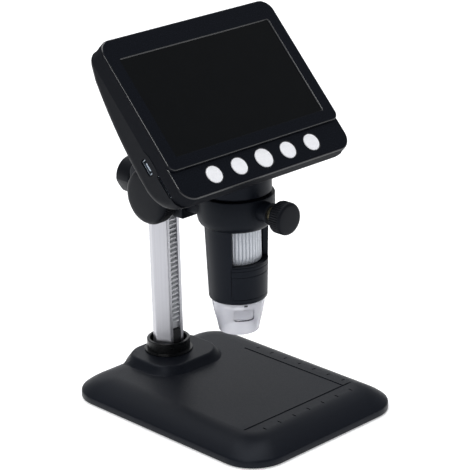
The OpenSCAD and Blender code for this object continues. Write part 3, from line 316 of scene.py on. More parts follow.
def lofted(rings, segments=8, cuts=0):
    """Bridges rounded rectangles (width, low, high, low corner, high corner, z) into one closed solid.
    cuts divides each long side, so that the stack can be bent afterwards."""
    long_side = 3.5
    bm = bmesh.new()
    tag = bm.verts.layers.int.new("ring")
    for number, (width, low, high, r_low, r_high, z) in enumerate(rings, 1):
        middle = (low + high) / 2
        corners = bmesh.ops.create_grid(bm, x_segments=1, y_segments=1, size=0.5)["verts"]
        bmesh.ops.scale(bm, vec=(width, high - low, 1), verts=corners)
        bmesh.ops.translate(bm, vec=(0, middle, z), verts=corners)
        halves = [v for v in corners if v.co.y < middle], [v for v in corners if v.co.y > middle]
        for chosen, radius in zip(halves, (r_low, r_high)):
            if radius:
                bmesh.ops.bevel(bm, geom=chosen, offset=radius, offset_type="OFFSET", affect="VERTICES",
                                segments=segments, profile=0.5, material=-1)
        bmesh.ops.delete(bm, geom=bm.faces[:], context="FACES_ONLY")
        if cuts:
            sides = [e for e in bm.edges if not e.verts[0][tag] and e.calc_length() > long_side]
            bmesh.ops.subdivide_edges(bm, edges=sides, cuts=cuts)
        for vert in bm.verts:
            vert[tag] = vert[tag] or number
    if cuts:
        stitch(bm, tag, len(rings), (rings[0][1] + rings[0][2]) / 2)
    else:
        bridge(bm, tag, len(rings))
    return bm


def bridge(bm, tag, count):
    """Joins ring 1 to 2, 2 to 3 and so on, and closes both ends."""
    for number in range(1, count):
        pair = [e for e in bm.edges if all(v[tag] in (number, number + 1) for v in e.verts)]
        bmesh.ops.bridge_loops(bm, edges=pair)
    bmesh.ops.holes_fill(bm, edges=bm.edges, sides=0)
    bmesh.ops.recalc_face_normals(bm, faces=bm.faces)


def stitch(bm, tag, count, middle):
    """Does the same for many flat nested rings round one centre, matching their points by angle."""
    loops = [[] for _ in range(count)]
    for vert in bm.verts:
        loops[vert[tag] - 1].append(vert)
    for loop in loops:
        loop.sort(key=lambda v: math.atan2(v.co.y - middle, v.co.x))
    for below, above in zip(loops, loops[1:]):
        for i in range(len(below)):
            bm.faces.new((below[i - 1], below[i], above[i], above[i - 1]))
    bmesh.ops.holes_fill(bm, edges=bm.edges, sides=0)
    bmesh.ops.recalc_face_normals(bm, faces=bm.faces)


def ribbed(rings, ribs, per_rib=6, power=1.0):
    """Bridges wavy circles (radius, z, rib depth) with ribs waves. More power narrows the valleys."""
    bm = bmesh.new()
    tag = bm.verts.layers.int.new("ring")
    for number, (radius, z, depth) in enumerate(rings, 1):
        made = bmesh.ops.create_circle(bm, segments=ribs * per_rib, radius=radius)["verts"]
        for vert in made:
            angle = math.atan2(vert.co.y, vert.co.x)
            wave = (0.5 - 0.5 * math.cos(angle * ribs)) ** power
            vert.co *= (radius - depth * wave) / radius
            vert.co.z = z
            vert[tag] = number
    bridge(bm, tag, len(rings))
    return bm


print("solids are welded at", WELD, "mm")

# %% Blocks, rods and rounded edges
def block(low, high):
    """A box between two corners."""
    bm = bmesh.new()
    bmesh.ops.create_cube(bm, size=1)
    bmesh.ops.scale(bm, vec=[b - a for a, b in zip(low, high)], verts=bm.verts)
    bmesh.ops.translate(bm, vec=[(a + b) / 2 for a, b in zip(low, high)], verts=bm.verts)
    return bm


def rod(radius, low, high, steps=48):
    """A cylinder along Z from low to high."""
    return turned([(0, low), (radius, low), (radius, high), (0, high)], steps, closed=False)


def drawn_up(bm, low, high):
    """Pulls a flat face up from low to high, as an extruder does."""
    grown = bmesh.ops.extrude_face_region(bm, geom=bm.faces[:], use_keep_orig=True)["geom"]
    upper = [g for g in grown if isinstance(g, bmesh.types.BMVert)]
    bmesh.ops.translate(bm, vec=(0, 0, high - low), verts=upper)
    bmesh.ops.translate(bm, vec=(0, 0, low), verts=bm.verts)
    bmesh.ops.recalc_face_normals(bm, faces=bm.faces)
    return bm


def eased(bm, edges, radius, segments=3, **more):
    """Rounds edges."""
    bmesh.ops.bevel(bm, geom=edges, offset=radius, affect="EDGES", segments=segments, profile=0.5,
                    material=-1, **more)


def span(edge, axis):
    """How far an edge goes along an axis: 0 for x, 1 for y, 2 for z."""
    return abs(edge.verts[0].co[axis] - edge.verts[1].co[axis])


print("a rod has", len(rod(1, 0, 1).faces), "faces")

# %% [markdown]
# ## Placing and joining
# `at`, `ALONG_X`, `ALONG_Y` and `about_z` are the matrices that put a piece in its place, and `moved`
# applies them. `combined` is Blender's manifold Boolean between two bmeshes, which needs both of them closed
# and facing outwards. `piece` turns the finished bmesh into an object: it welds doubled points, turns the
# faces outwards, scales to metres and rides the object on a body.

# %% Helpers for places, Booleans and finished pieces
ALONG_X = Matrix.Rotation(math.radians(90), 4, "Y")
ALONG_Y = Matrix.Rotation(math.radians(-90), 4, "X")
SWAP_YZ = Matrix(((1, 0, 0, 0), (0, 0, 1, 0), (0, 1, 0, 0), (0, 0, 0, 1)))
Z_TO_X = Matrix(((0, 0, 1, 0), (1, 0, 0, 0), (0, 1, 0, 0), (0, 0, 0, 1)))


def at(x=0, y=0, z=0):
    """A shift."""
    return Matrix.Translation((x, y, z))


def about_z(degrees):
    """A turn round Z."""
    return Matrix.Rotation(math.radians(degrees), 4, "Z")


def moved(bm, matrix):
    """Places a bmesh and gives it back. A mirror turns faces inside out, so they are turned back."""
    bmesh.ops.transform(bm, matrix=matrix, verts=bm.verts)
    if matrix.determinant() < 0:
        bmesh.ops.reverse_faces(bm, faces=bm.faces)
    return bm


def combined(bm, others, how="DIFFERENCE"):
    """Cuts, joins or crosses a bmesh with each of the others, and frees them all."""
    for other in others:
        pair = []
        for source in (bm, other):
            mesh = bpy.data.meshes.new("scratch")
            source.to_mesh(mesh)
            source.free()
            pair.append(bpy.data.objects.new("scratch", mesh))
            bpy.context.scene.collection.objects.link(pair[-1])
        cut = pair[0].modifiers.new("cut", "BOOLEAN")
        cut.object, cut.operation, cut.solver = pair[1], how, "MANIFOLD"
        bm = bmesh.new()
        bm.from_object(pair[0], bpy.context.evaluated_depsgraph_get())
        for scratch in pair:
            bpy.data.meshes.remove(scratch.data)
    return bm


def piece(name, bm, body, material, nodes=(), angle=30, weighted=False):
    """Finishes a bmesh as an object in metres that rides on a body and stands for its CAD nodes."""
    bmesh.ops.remove_doubles(bm, verts=bm.verts, dist=WELD)
    bmesh.ops.recalc_face_normals(bm, faces=bm.faces)
    bmesh.ops.scale(bm, vec=[1 / MM_PER_METRE] * 3, verts=bm.verts)
    open_edges = sum(len(e.link_faces) != 2 for e in bm.edges)
    mesh = bpy.data.meshes.new(name)
    bm.to_mesh(mesh)
    bm.free()
    mesh.shade_smooth()
    mesh.set_sharp_from_angle(angle=math.radians(angle))
    mesh.materials.append(material)
    made = bpy.data.objects.new(name, mesh)
    bpy.context.scene.collection.objects.link(made)
    if weighted:
        made.modifiers.new("even_shading", "WEIGHTED_NORMAL").keep_sharp = True
    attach(made, body)
    if nodes:
        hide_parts(*nodes)
    print(f"{name}: {len(mesh.polygons)} faces, {open_edges} open edges, rides on {body}")
    return made


print("mesh helpers ready")

# %% [markdown]
# ## Where things stand
# Many pieces share a few lines in space: the axis of the optics, the column's middle, the pinion, the two
# clamping screws and the head's seam. Each is named once, so that a piece and its hole can't drift apart.

# %% Shared places
OPTIC_Y = -7.8
COLUMN_Y, COLUMN_FOOT, COLUMN_TOP = 44.95, 3.8, 156
BOLT_Y = 45.65
PINION_AT = at(0, 33.3, 105.8)
LOCK_Z, CLAMP_Z = 105.1, 106.9
SEAM_Z = -8.6

OPTIC = at(0, OPTIC_Y, 0)
PINION = PINION_AT @ ALONG_X
LOCK = at(0, 59.55, LOCK_Z) @ ALONG_Y
CLAMP = at(0, 0, CLAMP_Z) @ ALONG_Y
print("the column stands", round(COLUMN_Y - OPTIC_Y, 2), "mm behind the optics")

# %% [markdown]
# ## The base
# The base is one thin moulding: an upright lip, a soft flank, a flat top and a raised pad that carries the
# column. Stacked rounded rectangles give the lip and the flank exactly. The pad then has to melt into the
# top, so the stack goes on inwards as many close rings, and each point is lifted to whichever is higher,
# the top or the pad, with a rounded valley between them.

# %% Base: outer form
BASE = {"width": 105.0, "depth": 135.0, "y": -2.25, "z": 0.6, "corner": 18.5, "wall": 2.4}
FLANK = [(0.3, 0), (0.08, 0.1), (0, 0.3), (0, 2.9), (0.08, 3.2), (0.3, 3.6), (0.8, 4.0), (2.6, 5.45),
         (5.0, 7.0), (7.4, 8.35), (9.8, 9.35), (12.5, 10.05), (14.5, 10.3), (16.0, 10.4)]
FLAT_INSET, FLAT_HEIGHT = FLANK[-1]
FLAT_RINGS = 62
FLAT_STEP = 0.5


def base_ring(inset, height, shrink=0.0):
    """One ring of the base at a distance in from the lip."""
    corner = max(BASE["corner"] - 0.75 * inset - shrink, 3.0)
    half = BASE["depth"] / 2 - inset - shrink
    return (BASE["width"] - 2 * (inset + shrink), BASE["y"] - half, BASE["y"] + half, corner, corner,
            BASE["z"] + height)


rings = [base_ring(*point) for point in FLANK]
rings += [base_ring(FLAT_INSET + step * FLAT_STEP, FLAT_HEIGHT) for step in range(1, FLAT_RINGS + 1)]
base = lofted(rings, segments=12, cuts=120)
print("base rings", len(rings), "points", len(base.verts))

# %% Base: the pad
PAD = {"half": 20.0, "low": 24.6, "high": 58.2, "corner": 12.0, "top": 15.1, "rim": 1.4, "slope": 1.28,
       "foot": 3.0, "foot_slope": 2.8}
LIP_TOP = 3.5
VALLEY = 2.0


def pad_height(x, y):
    """Height of the pad's own surface: flat, a tightly rounded rim, then a slope that steepens outwards."""
    middle, half_y = (PAD["low"] + PAD["high"]) / 2, (PAD["high"] - PAD["low"]) / 2
    reach_x = abs(x) - (PAD["half"] - PAD["corner"])
    reach_y = abs(y - middle) - (half_y - PAD["corner"])
    out = math.hypot(max(reach_x, 0), max(reach_y, 0)) + min(max(reach_x, reach_y), 0) - PAD["corner"]
    rim = max(out + PAD["rim"] / 2, 0)
    fall = PAD["slope"] * (rim * rim / (2 * PAD["rim"]) if rim < PAD["rim"] else rim - PAD["rim"] / 2)
    return PAD["top"] - fall - PAD["foot_slope"] * max(out - PAD["foot"], 0)


def soft_max(a, b, width):
    """The higher of two heights, with a rounded valley of the given width where they cross."""
    near = max(width - abs(a - b), 0) / width
    return max(a, b) + near * near * width / 4


for vert in base.verts:
    if vert.co.z > BASE["z"] + LIP_TOP:
        vert.co.z = soft_max(vert.co.z, pad_height(vert.co.x, vert.co.y), VALLEY)
print("highest point of the base", round(max(v.co.z for v in base.verts), 2), "mm")

# %% Base: hollow and column socket
CAVITY = [(0, -1.2), (0, 3.3), (7.5, 6.1), (9.8, 7.0), (12.5, 7.65), (16, 8.0)]
TAN_30, SEC_30 = 0.577, 1.15

inner = lofted([base_ring(inset, height, BASE["wall"]) for inset, height in CAVITY], segments=12)
inner = combined(inner, [moved(rod(11.0, 3.8, 14.0), at(0, COLUMN_Y, 0))])


def column_outline(grow):
    """The column's hexagon, grown on every side, as one face at z = 0."""
    bm = bmesh.new()
    half, flat, side = 4.4 + grow * TAN_30, 6.8 + grow, 8.2 + grow * SEC_30
    ring = [(-half, -flat), (half, -flat), (side, 0), (half, flat), (-half, flat), (-side, 0)]
    bmesh.ops.contextual_create(bm, geom=[bm.verts.new((x, COLUMN_Y + y, 0)) for x, y in ring])
    return bm


COLUMN_FIT = 0.05
channel = drawn_up(column_outline(COLUMN_FIT), 2, 17)
print("the socket fits the column with", COLUMN_FIT, "mm")

# %% [markdown]
# ## The ruler in the base
# Two shallow grooves meet in a corner of the base, with a tick every 10 mm. The mould sinks them, so they
# are cut here, not printed.

# %% Base: ruler and finish
LINE_Z, TICK_Z, ABOVE = 10.65, 10.3, 13
TICKS, TICK_STEP = 7, 10
grooves = [block((32.4, -47.45, LINE_Z), (33.4, 22.55, ABOVE)),
           block((-36.2, -47.45, LINE_Z), (38.6, -46.45, ABOVE))]
grooves += [block((36.8, -42.45 + TICK_STEP * i, TICK_Z), (39.2, -41.75 + TICK_STEP * i, ABOVE))
            for i in range(TICKS)]
grooves += [block((31.4 - TICK_STEP * i, -54.05, TICK_Z), (32.1 - TICK_STEP * i, -51.65, ABOVE))
            for i in range(TICKS)]
base = combined(base, [inner, channel] + grooves)
piece("base_moulding", base, "stand", base_plastic, ["base_shell"], angle=35)

# %% [markdown]
# ## The column
# The column is a drawn aluminium bar: a hexagon with a slot for the rack and a bore for the foot bolt. Real
# drawn edges are never sharp, and their small rounding catches the light, so the long edges get a bevel.

# %% Column
column = drawn_up(column_outline(0), COLUMN_FOOT, COLUMN_TOP)
eased(column, [e for e in column.edges if span(e, 2) > 50], 0.35)
slot = block((-2.6, 30, 0), (2.6, 41.45, 160))
column = combined(column, [slot, moved(rod(2.1, 0, 160), at(0, BOLT_Y, 0))])
piece("column_extrusion", column, "stand", aluminium, ["column"])

# %% Collar and cap
collar = turned([(0, 15.1), (12.3, 15.1), (12.4, 15.2), (12.4, 15.7), (12.2, 15.9), (11.3, 15.9), (11.1, 16.1),
                 (11.1, 21.2), (10.8, 21.5), (9.7, 21.5), (9.4, 21.2), (9.4, 17.5), (0, 17.5)], closed=False)
collar = combined(moved(collar, at(0, COLUMN_Y, 0)), [drawn_up(column_outline(COLUMN_FIT), 10, 30)])
piece("collar_cup", collar, "stand", collar_plastic, ["column_collar"])

cap = drawn_up(column_outline(0.4), COLUMN_TOP, COLUMN_TOP + 2)
eased(cap, [e for e in cap.edges if e.verts[0].co.z + e.verts[1].co.z > 2 * COLUMN_TOP + 0.5], 0.4)
cap = combined(cap, [moved(rod(2.05, 148, COLUMN_TOP + 0.5), at(0, BOLT_Y, 0))], "UNION")
piece("column_cap", cap, "stand", stand_plastic, ["column_top_cap"])

# %% [markdown]
# ## The carriage
# The carriage is a block that slides on the column. Its side view is drawn first, because the rounded back
# corners are in that view, then it is pulled across to its width. Its long edges are eased, and the
# column's channel, the pinion's pocket and the bearing seats are cut through it.

# %% Carriage block
HALF_WIDTH, CARRIAGE_Z = 12.0, 106.15
BACK_CORNERS = ((False, 9.0), (True, 6.0))
carriage = lofted([(2 * HALF_WIDTH, -10.85, 10.85, 0, 0, z) for z in (-18.9, 18.85)])
carriage = moved(carriage, at(0, 37.2, CARRIAGE_Z) @ ALONG_Y)
for upper, radius in BACK_CORNERS:
    eased(carriage, [e for e in carriage.edges if span(e, 0) > 10
                     and all(v.co.y > 50 and (v.co.z > CARRIAGE_Z) == upper for v in e.verts)], radius, 12)
rims = [e for e in carriage.edges if span(e, 0) < 0.01
        and all(abs(abs(v.co.x) - HALF_WIDTH) < 0.01 for v in e.verts)]
eased(carriage, rims, 0.9)
print("carriage faces before it is bored", len(carriage.faces))

# %% Carriage bores
LOCK_LINE = at(0, 0, LOCK_Z) @ ALONG_Y
carriage = combined(carriage, [moved(rod(5.2, 55, 58.65), LOCK_LINE)], "UNION")
pinion_bores = [moved(rod(radius, low, high), PINION)
                for radius, low, high in ((7.1, -2.9, 2.9), (2.8, -20, 20), (4.0, 8, 20), (4.0, -20, -8))]
carriage = combined(carriage, [drawn_up(column_outline(0.15), 90, 120)] + pinion_bores
                    + [moved(rod(2.05, 50, 60), LOCK_LINE), block((-3.2, 51.7, 101.9), (3.2, 55.05, 108.3))])
piece("carriage_block", carriage, "carriage", stand_plastic, ["carriage_body"])

# %% [markdown]
# ## The clamp ring
# A stout ring holds the barrel. It is turned, with a soft lower edge, and then joined to the arm that
# carries it and to the boss of the clamp screw before the bore is cut, so that the bore stays clean.

# %% Clamp ring
ring = moved(turned([(14.0, 96.8), (16.0, 96.8), (17.7, 98.0), (18.6, 99.5), (19.0, 101.2), (19.1, 103.0),
                     (19.1, 112.5), (18.95, 112.85), (18.6, 113.0), (14.0, 113.0)], 128), OPTIC)
arm = block((-9, 5, 98.8), (9, 18.3, 112.0))
eased(arm, [e for e in arm.edges if span(e, 1) > 5], 0.8)
boss = moved(turned([(0, -32.5), (4.9, -32.5), (5.2, -32.2), (5.2, -20), (0, -20)], 64, closed=False), CLAMP)
ring = combined(ring, [arm, boss], "UNION")
ring = combined(ring, [moved(rod(16.0, 90, 120, 128), OPTIC), moved(rod(3.5, -34, -20), CLAMP)])
for height in (101.4, 109.4):
    screw_line = at(0, 0, height) @ ALONG_Y
    ring = combined(ring, [moved(rod(1.2, 0, 30), screw_line), moved(rod(2.1, 0, 10.2), screw_line)])
piece("clamp_ring_casting", ring, "carriage", stand_plastic, ["clamp_ring"], angle=35)

# %% [markdown]
# ## Knobs
# The focus knobs and the clamp knob are stacks of wavy circles: plain at both faces, ribbed between them,
# so that a fine wave makes the knurl. The lock knob is plain and round, with a flat on two sides for finger
# and thumb. It is turned, cut, and its cut edges are eased.

# %% Focus knobs
def focus_knob(side):
    """One hand wheel on the pinion's shaft; side is -1 or 1, and the two are mirrored."""
    knob = ribbed([(2.52, 0.0, 0), (12.6, 0.0, 0), (13.45, 0.8, 0), (14.05, 2.1, 0.0), (14.25, 2.6, 0.45),
                   (14.25, 7.2, 0.45), (14.0, 7.8, 0.0), (13.3, 9.0, 0), (12.2, 9.7, 0), (10.5, 10.0, 0),
                   (2.6, 10.0, 0)], 72, 4)
    mirrored = PINION_AT @ Matrix.Scale(side, 4, (1, 0, 0))
    bore = moved(rod(2.51, 12, 20), mirrored @ ALONG_X)
    return combined(moved(knob, mirrored @ at(13, 0, 0) @ ALONG_X), [bore])


for name, side in (("left", -1), ("right", 1)):
    piece(f"focus_knob_{name}_moulding", focus_knob(side), "focus_spindle", knob_plastic,
          [f"focus_knob_{name}"])

# %% Lock knob and clamp knob
FLAT_BEARINGS = (-31, 149)
grip = turned([(0, 0), (8.7, 0), (9.2, 0.25), (9.55, 0.9), (9.55, 9.2), (9.4, 9.8), (9.0, 10.2), (8.4, 10.4),
               (0, 10.4)], 128, closed=False)
for bearing in FLAT_BEARINGS:
    grip = combined(grip, [moved(block((8.6, -12, -1), (12, 12, 12)), about_z(bearing))])
flat_rims = [e for e in grip.edges if len(e.link_faces) == 2 and e.calc_face_angle() > 0.35]
eased(grip, flat_rims, 0.25, 2, clamp_overlap=True)
grip = combined(moved(grip, LOCK), [moved(rod(2.01, -1, 7.4), LOCK)])
piece("lock_knob_moulding", grip, "lock_handle", knob_plastic, ["lock_knob"], angle=35)

CLAMP_KNOB = at(0, -36.9, CLAMP_Z) @ Matrix.Rotation(math.radians(90), 4, "X")
knurled = ribbed([(2.5, 0, 0), (6.9, 0, 0), (7.6, 0.5, 0.1), (8.0, 1.1, 0.3), (8.0, 5.9, 0.3),
                  (7.85, 6.3, 0.1), (7.5, 6.8, 0), (6.9, 7.2, 0), (6.2, 7.3, 0), (2.0, 7.35, 0)], 44, 6)
knurled = combined(moved(knurled, CLAMP_KNOB), [moved(rod(2.46, -1, 4.3), CLAMP_KNOB)])
piece("clamp_knob_moulding", knurled, "clamp_handle", knob_plastic, ["clamp_knob"])

# %% [markdown]
# ## The barrel
# The camera barrel is a slightly tapered tube. One closed profile holds its outside and the steps inside
# that the LED board, the wheel and the nose cone sit on. A window opens over a wedge of it, where a finger
# reaches the focus wheel, and a thin cover with two scribed arcs closes the panel below that window.

# %% Barrel tube
def wedge(half, low, high):
    """A wedge of the given half angle that opens towards the front, for cutting the barrel."""
    reach = 30
    wide = reach * math.tan(math.radians(half))
    bm = bmesh.new()
    ring = [(0, OPTIC_Y, 0), (-wide, OPTIC_Y - reach, 0), (wide, OPTIC_Y - reach, 0)]
    bmesh.ops.contextual_create(bm, geom=[bm.verts.new(point) for point in ring])
    return drawn_up(bm, low, high)


OUTSIDE = [(13.5, 58.9), (13.95, 59.05), (14.3, 59.4), (14.48, 59.9), (15.7, 95.7), (15.7, 119.5)]
INSIDE = [(12.8, 119.5), (12.8, 78.2), (9.8, 78.2), (9.8, 76.5), (12.8, 76.5), (12.8, 65.9), (9.8, 65.9),
          (9.8, 64.5), (12.1, 64.5), (12.1, 58.9)]
barrel = moved(turned(OUTSIDE + INSIDE, 128), OPTIC)
skin = moved(turned([(16.5, 57), (16.5, 80), (13.97, 80), (13.3, 59.9), (13.3, 57)], 128), OPTIC)
recess = combined(wedge(56.6, 61.4, 78.35), [skin], "INTERSECT")
barrel = combined(barrel, [recess, wedge(53.5, 78.9, 101.3)])
piece("barrel_tube", barrel, "head", barrel_plastic, ["barrel_housing"], angle=35)

# %% Barrel front cover
ARCS = ((14.72, 73.3), (14.83, 76.6))
shell = moved(turned(OUTSIDE[3:5] + [(14.55, 95.7), (13.33, 59.9)], 128), OPTIC)
cover = combined(shell, [wedge(55.9, 61.65, 78.1)], "INTERSECT")
arcs = [moved(turned([(r, z - 0.2), (17, z - 0.2), (17, z + 0.2), (r, z + 0.2)], 128), OPTIC) for r, z in ARCS]
piece("barrel_cover_plate", combined(cover, arcs), "head", barrel_plastic, ["barrel_front_cover"],
      angle=35)

# %% Focus wheel
wheel = ribbed([(9.8, 78.5, 0), (11.3, 78.5, 0), (11.75, 78.8, 0.15), (12.0, 79.3, 0.8), (12.0, 98.5, 0.8),
                (11.75, 99.0, 0.15), (11.3, 99.3, 0), (9.8, 99.3, 0)], 40, 10, 5.0)
wheel = combined(moved(wheel, OPTIC), [moved(rod(9.8, 70, 100, 96), OPTIC)])
piece("focus_wheel_ribbed", wheel, "wheel", wheel_silver, ["focus_wheel"])

# %% [markdown]
# ## The clear nose cone
# The cone is a thin clear cup that slides into the barrel and lets the LEDs light the specimen. It has two
# windows with rounded corners. Light shows clear plastic by its edges, so the rims are turned with small
# roundings, and the windows are real openings whose sides are painted grey, as shade for the light that
# bends in them. A small printed mark on the rim shows which way round the cone goes in.

# %% Nose cone
WINDOW = {"bearings": (-31, 149), "low": 49.3, "high": 55.6}
cone = moved(turned([(8.5, 41.6), (9.6, 41.6), (9.9, 41.75), (10.0, 42.05), (10.6, 44.6), (11.18, 47.24),
                     (11.78, 49.6), (12.29, 51.86), (12.7, 53.8), (12.95, 55.28), (13.08, 57.0), (13.1, 58.2),
                     (12.9, 58.7), (12.0, 58.7), (12.0, 62.7), (10.8, 62.7), (10.8, 57.7), (11.45, 55.28),
                     (10.79, 51.86), (9.68, 47.24)], 128), OPTIC)
for bearing in WINDOW["bearings"]:
    window = lofted([(10.4, WINDOW["low"], WINDOW["high"], 1.4, 1.4, out) for out in (-20, -8)])
    cone = combined(cone, [moved(window, OPTIC @ about_z(bearing) @ SWAP_YZ)])
# The sides of each window take the second finish, a grey that is painted shade.
for face in cone.faces:
    centre = face.calc_center_median() - Vector((0, OPTIC_Y, 0))
    outward = Vector((centre.x, centre.y, 0)).normalized()
    if WINDOW["low"] - 0.1 < centre.z < WINDOW["high"] + 0.1 and abs(face.normal.dot(outward)) < 0.5:
        face.material_index = 1
cone = piece("nose_cone_clear", cone, "nose", clear_plastic, ["nose_cone"], angle=35)
cone.data.materials.append(cone_edge_painted_shade)

mark = moved(block((-0.9, -13.13, 57.3), (0.9, -12.5, 58.15)), OPTIC @ about_z(-28))
piece("nose_cone_index_mark", mark, "nose", printed_mark)

# %% [markdown]
# ## The display head
# The head is drawn in its own upright frame: x across, y up the display, z out of it. A matrix tilts every
# piece into place. The rear shell is the hull of two long rollers, one thick at the heel and one thin at
# the brow, and the outline of the seam. Small rollers between them give the back its gentle curve. A hull
# of dense rings stays smooth.

# %% Rear shell: outer form
HEAD = at(0, -1.25, 164.3) @ Matrix.Rotation(math.radians(47.08), 4, "X")
HEAD_WIDTH = 113
HEAD_HALF = HEAD_WIDTH / 2
HEEL_Y, BACK_LENGTH, BACK_STEPS = -29.8, 59.8, 12
QUARTER = [math.radians(a) for a in range(0, 91, 10)]


def roller(radius, half, y, z, rim=5.0, steps=128):
    """A bar along X with rounded ends."""
    rim = min(rim, radius)
    ends = [(radius - rim + rim * math.sin(a), -half + rim - rim * math.cos(a)) for a in QUARTER]
    profile = [(0, -half)] + ends + [(r, -x) for r, x in reversed(ends)] + [(0, half)]
    return moved(turned(profile, steps, closed=False), at(0, y, z) @ ALONG_X)


def rear_form(shrink):
    """The rear shell's solid form, taken in by shrink on every side."""
    half = HEAD_HALF - shrink
    parts = [roller(19.0 - shrink, half, HEEL_Y, -4.8), roller(8.0 - shrink, half, 29.7, -5.8),
             lofted([(HEAD_WIDTH - 2 * shrink, -48.8 + shrink, 38 - shrink, 8 - shrink, 7, z)
                     for z in (-9.2, -8.62)], 12)]
    for step in range(1, BACK_STEPS):
        along = BACK_LENGTH * step / BACK_STEPS
        parts.append(roller(5.0, half, HEEL_Y + along, -18.8 + along * along / 400 + shrink, steps=96))
    bm = bmesh.new()
    for part in parts:
        mesh = bpy.data.meshes.new("scratch")
        part.to_mesh(mesh)
        part.free()
        bm.from_mesh(mesh)
        bpy.data.meshes.remove(mesh)
    bmesh.ops.delete(bm, geom=bm.edges[:], context="EDGES_FACES")
    hull = bmesh.ops.convex_hull(bm, input=bm.verts)
    buried = [v for v in hull["geom_interior"] if isinstance(v, bmesh.types.BMVert)]
    bmesh.ops.delete(bm, geom=buried, context="VERTS")
    bmesh.ops.bisect_plane(bm, geom=bm.verts[:] + bm.edges[:] + bm.faces[:], plane_co=(0, 0, SEAM_Z),
                           plane_no=(0, 0, 1), clear_outer=True)
    bmesh.ops.holes_fill(bm, edges=bm.edges, sides=0)
    bmesh.ops.dissolve_limit(bm, angle_limit=math.radians(0.4), verts=bm.verts, edges=bm.edges)
    bmesh.ops.recalc_face_normals(bm, faces=bm.faces)
    return bm


solid_form = rear_form(0)
print("rear form", len(solid_form.faces), "faces")

# %% Cutters that the rear shell and the bezel share
TAB = {"y": -23.5, "half": 7.5, "rise": 1.4, "wall": 1.9}
TAB_RADIUS = (TAB["half"] ** 2 + TAB["rise"] ** 2) / (2 * TAB["rise"])


def seam_tab(grow):
    """The shallow arc of the rear shell that rises into the bezel beside the charging port."""
    disc = moved(rod(TAB_RADIUS + grow, -0.1 - grow, TAB["wall"] + grow, 256),
                 at(-HEAD_HALF, TAB["y"], SEAM_Z + TAB["rise"] - TAB_RADIUS) @ ALONG_X)
    return combined(disc, [block((-58, -31, -9.1), (-54, -16, -6))], "INTERSECT")


def side_ports():
    """Cutters for the charging port and the card slot."""
    port = lofted([(8.6, -1.7, 1.7, 1.2, 1.2, out) for out in (-58, -53)])
    return [moved(port, at(0, -23.2, -12.4) @ Z_TO_X), block((-58, -42.0, -9.5), (-53, -30.0, -7.9))]


print("the tab's arc has a radius of", round(TAB_RADIUS, 1), "mm")

# %% Rear shell: hollow, ports, screw wells
SHELL_WALL = 2
SCREWS = [at(x, y, 0) for x, y in ((-51, 33.4), (51, 33.4), (-50, -45.1), (50, -45.1))]

rear = combined(solid_form.copy(), [rear_form(SHELL_WALL)])
posts = [combined(moved(rod(2.9, -23, SEAM_Z), screw), [solid_form.copy()], "INTERSECT") for screw in SCREWS]
rear = combined(rear, posts, "UNION")
rear = combined(rear, [seam_tab(0)], "UNION")
wells = [moved(rod(2.3, -23.6, -10.1), screw) for screw in SCREWS]
holes = [moved(rod(1.1, -12, -6), screw) for screw in SCREWS]
rear = combined(rear, wells + holes + side_ports())
rear = combined(moved(rear, HEAD), [moved(rod(6.5, 113, 145), OPTIC)])
piece("rear_shell_moulding", rear, "head", rear_plastic, ["rear_shell"], angle=32,
      weighted=True)

# %% Neck between the head and the clamp ring
neck = turned([(15.75, 113.3), (16.6, 113.3), (16.6, 114.0), (17.5, 114.0), (17.7, 114.2), (17.7, 150),
               (15.1, 150), (15.1, 121.5), (9.5, 121.5), (9.5, 119.5), (15.75, 119.5)], 128)
away = moved(block((-100, -100, -9.6), (100, 100, 60)), HEAD)
neck = combined(moved(neck, OPTIC), [moved(solid_form, HEAD), away])
piece("neck_tube", neck, "head", barrel_plastic, ["neck_housing"], angle=35)

# %% [markdown]
# ## The front bezel
# The bezel is two plates in one moulding: the lower one carries the buttons, and the display frame stands
# a little proud of it. Extra rings close to each upper edge round it off, and that narrow rounding is the
# bright line that outlines the frame. A face is given its finish by how far it is tilted: flat faces are
# satin, the narrow roundings polished, and the drafted sides dull.

# %% Front bezel: form
FLAT, EDGE = 0.97, 0.4


def plate_rings(width, low, high, r_low, r_high, steps):
    """Rings of one plate with drafted sides; each step is (inset, z)."""
    return [(width - 2 * s - 0.08 * (8.6 + z), low + s, high - s, max(r_low - s, 0.3), max(r_high - s, 0.3), z)
            for s, z in steps]


bezel = lofted(plate_rings(HEAD_WIDTH, -48.8, 37.8, 8, 7, [
    (0, SEAM_Z), (0, -2.4), (0.08, -1.9), (0.28, -1.45), (0.65, -1.12), (1.2, -1.0)]), 12)
raised = lofted(plate_rings(HEAD_WIDTH, -33.4, 38, 4, 7, [
    (0.01, -3), (0, -0.1), (0.08, 0.22), (0.28, 0.5), (0.6, 0.66), (0.95, 0.7)]), 12)
bezel = combined(bezel, [raised], "UNION")
print("bezel faces before it is hollowed", len(bezel.faces))

# %% Front bezel: openings and finish
BUTTONS = {"menu": -2, "up": -1, "ok": 0, "down": 1, "power": 2}
BUTTON_PITCH, BUTTON_Y = 16.25, -40.2
CAP_RADIUS = {name: 5.0 if name == "ok" else 4.45 for name in BUTTONS}

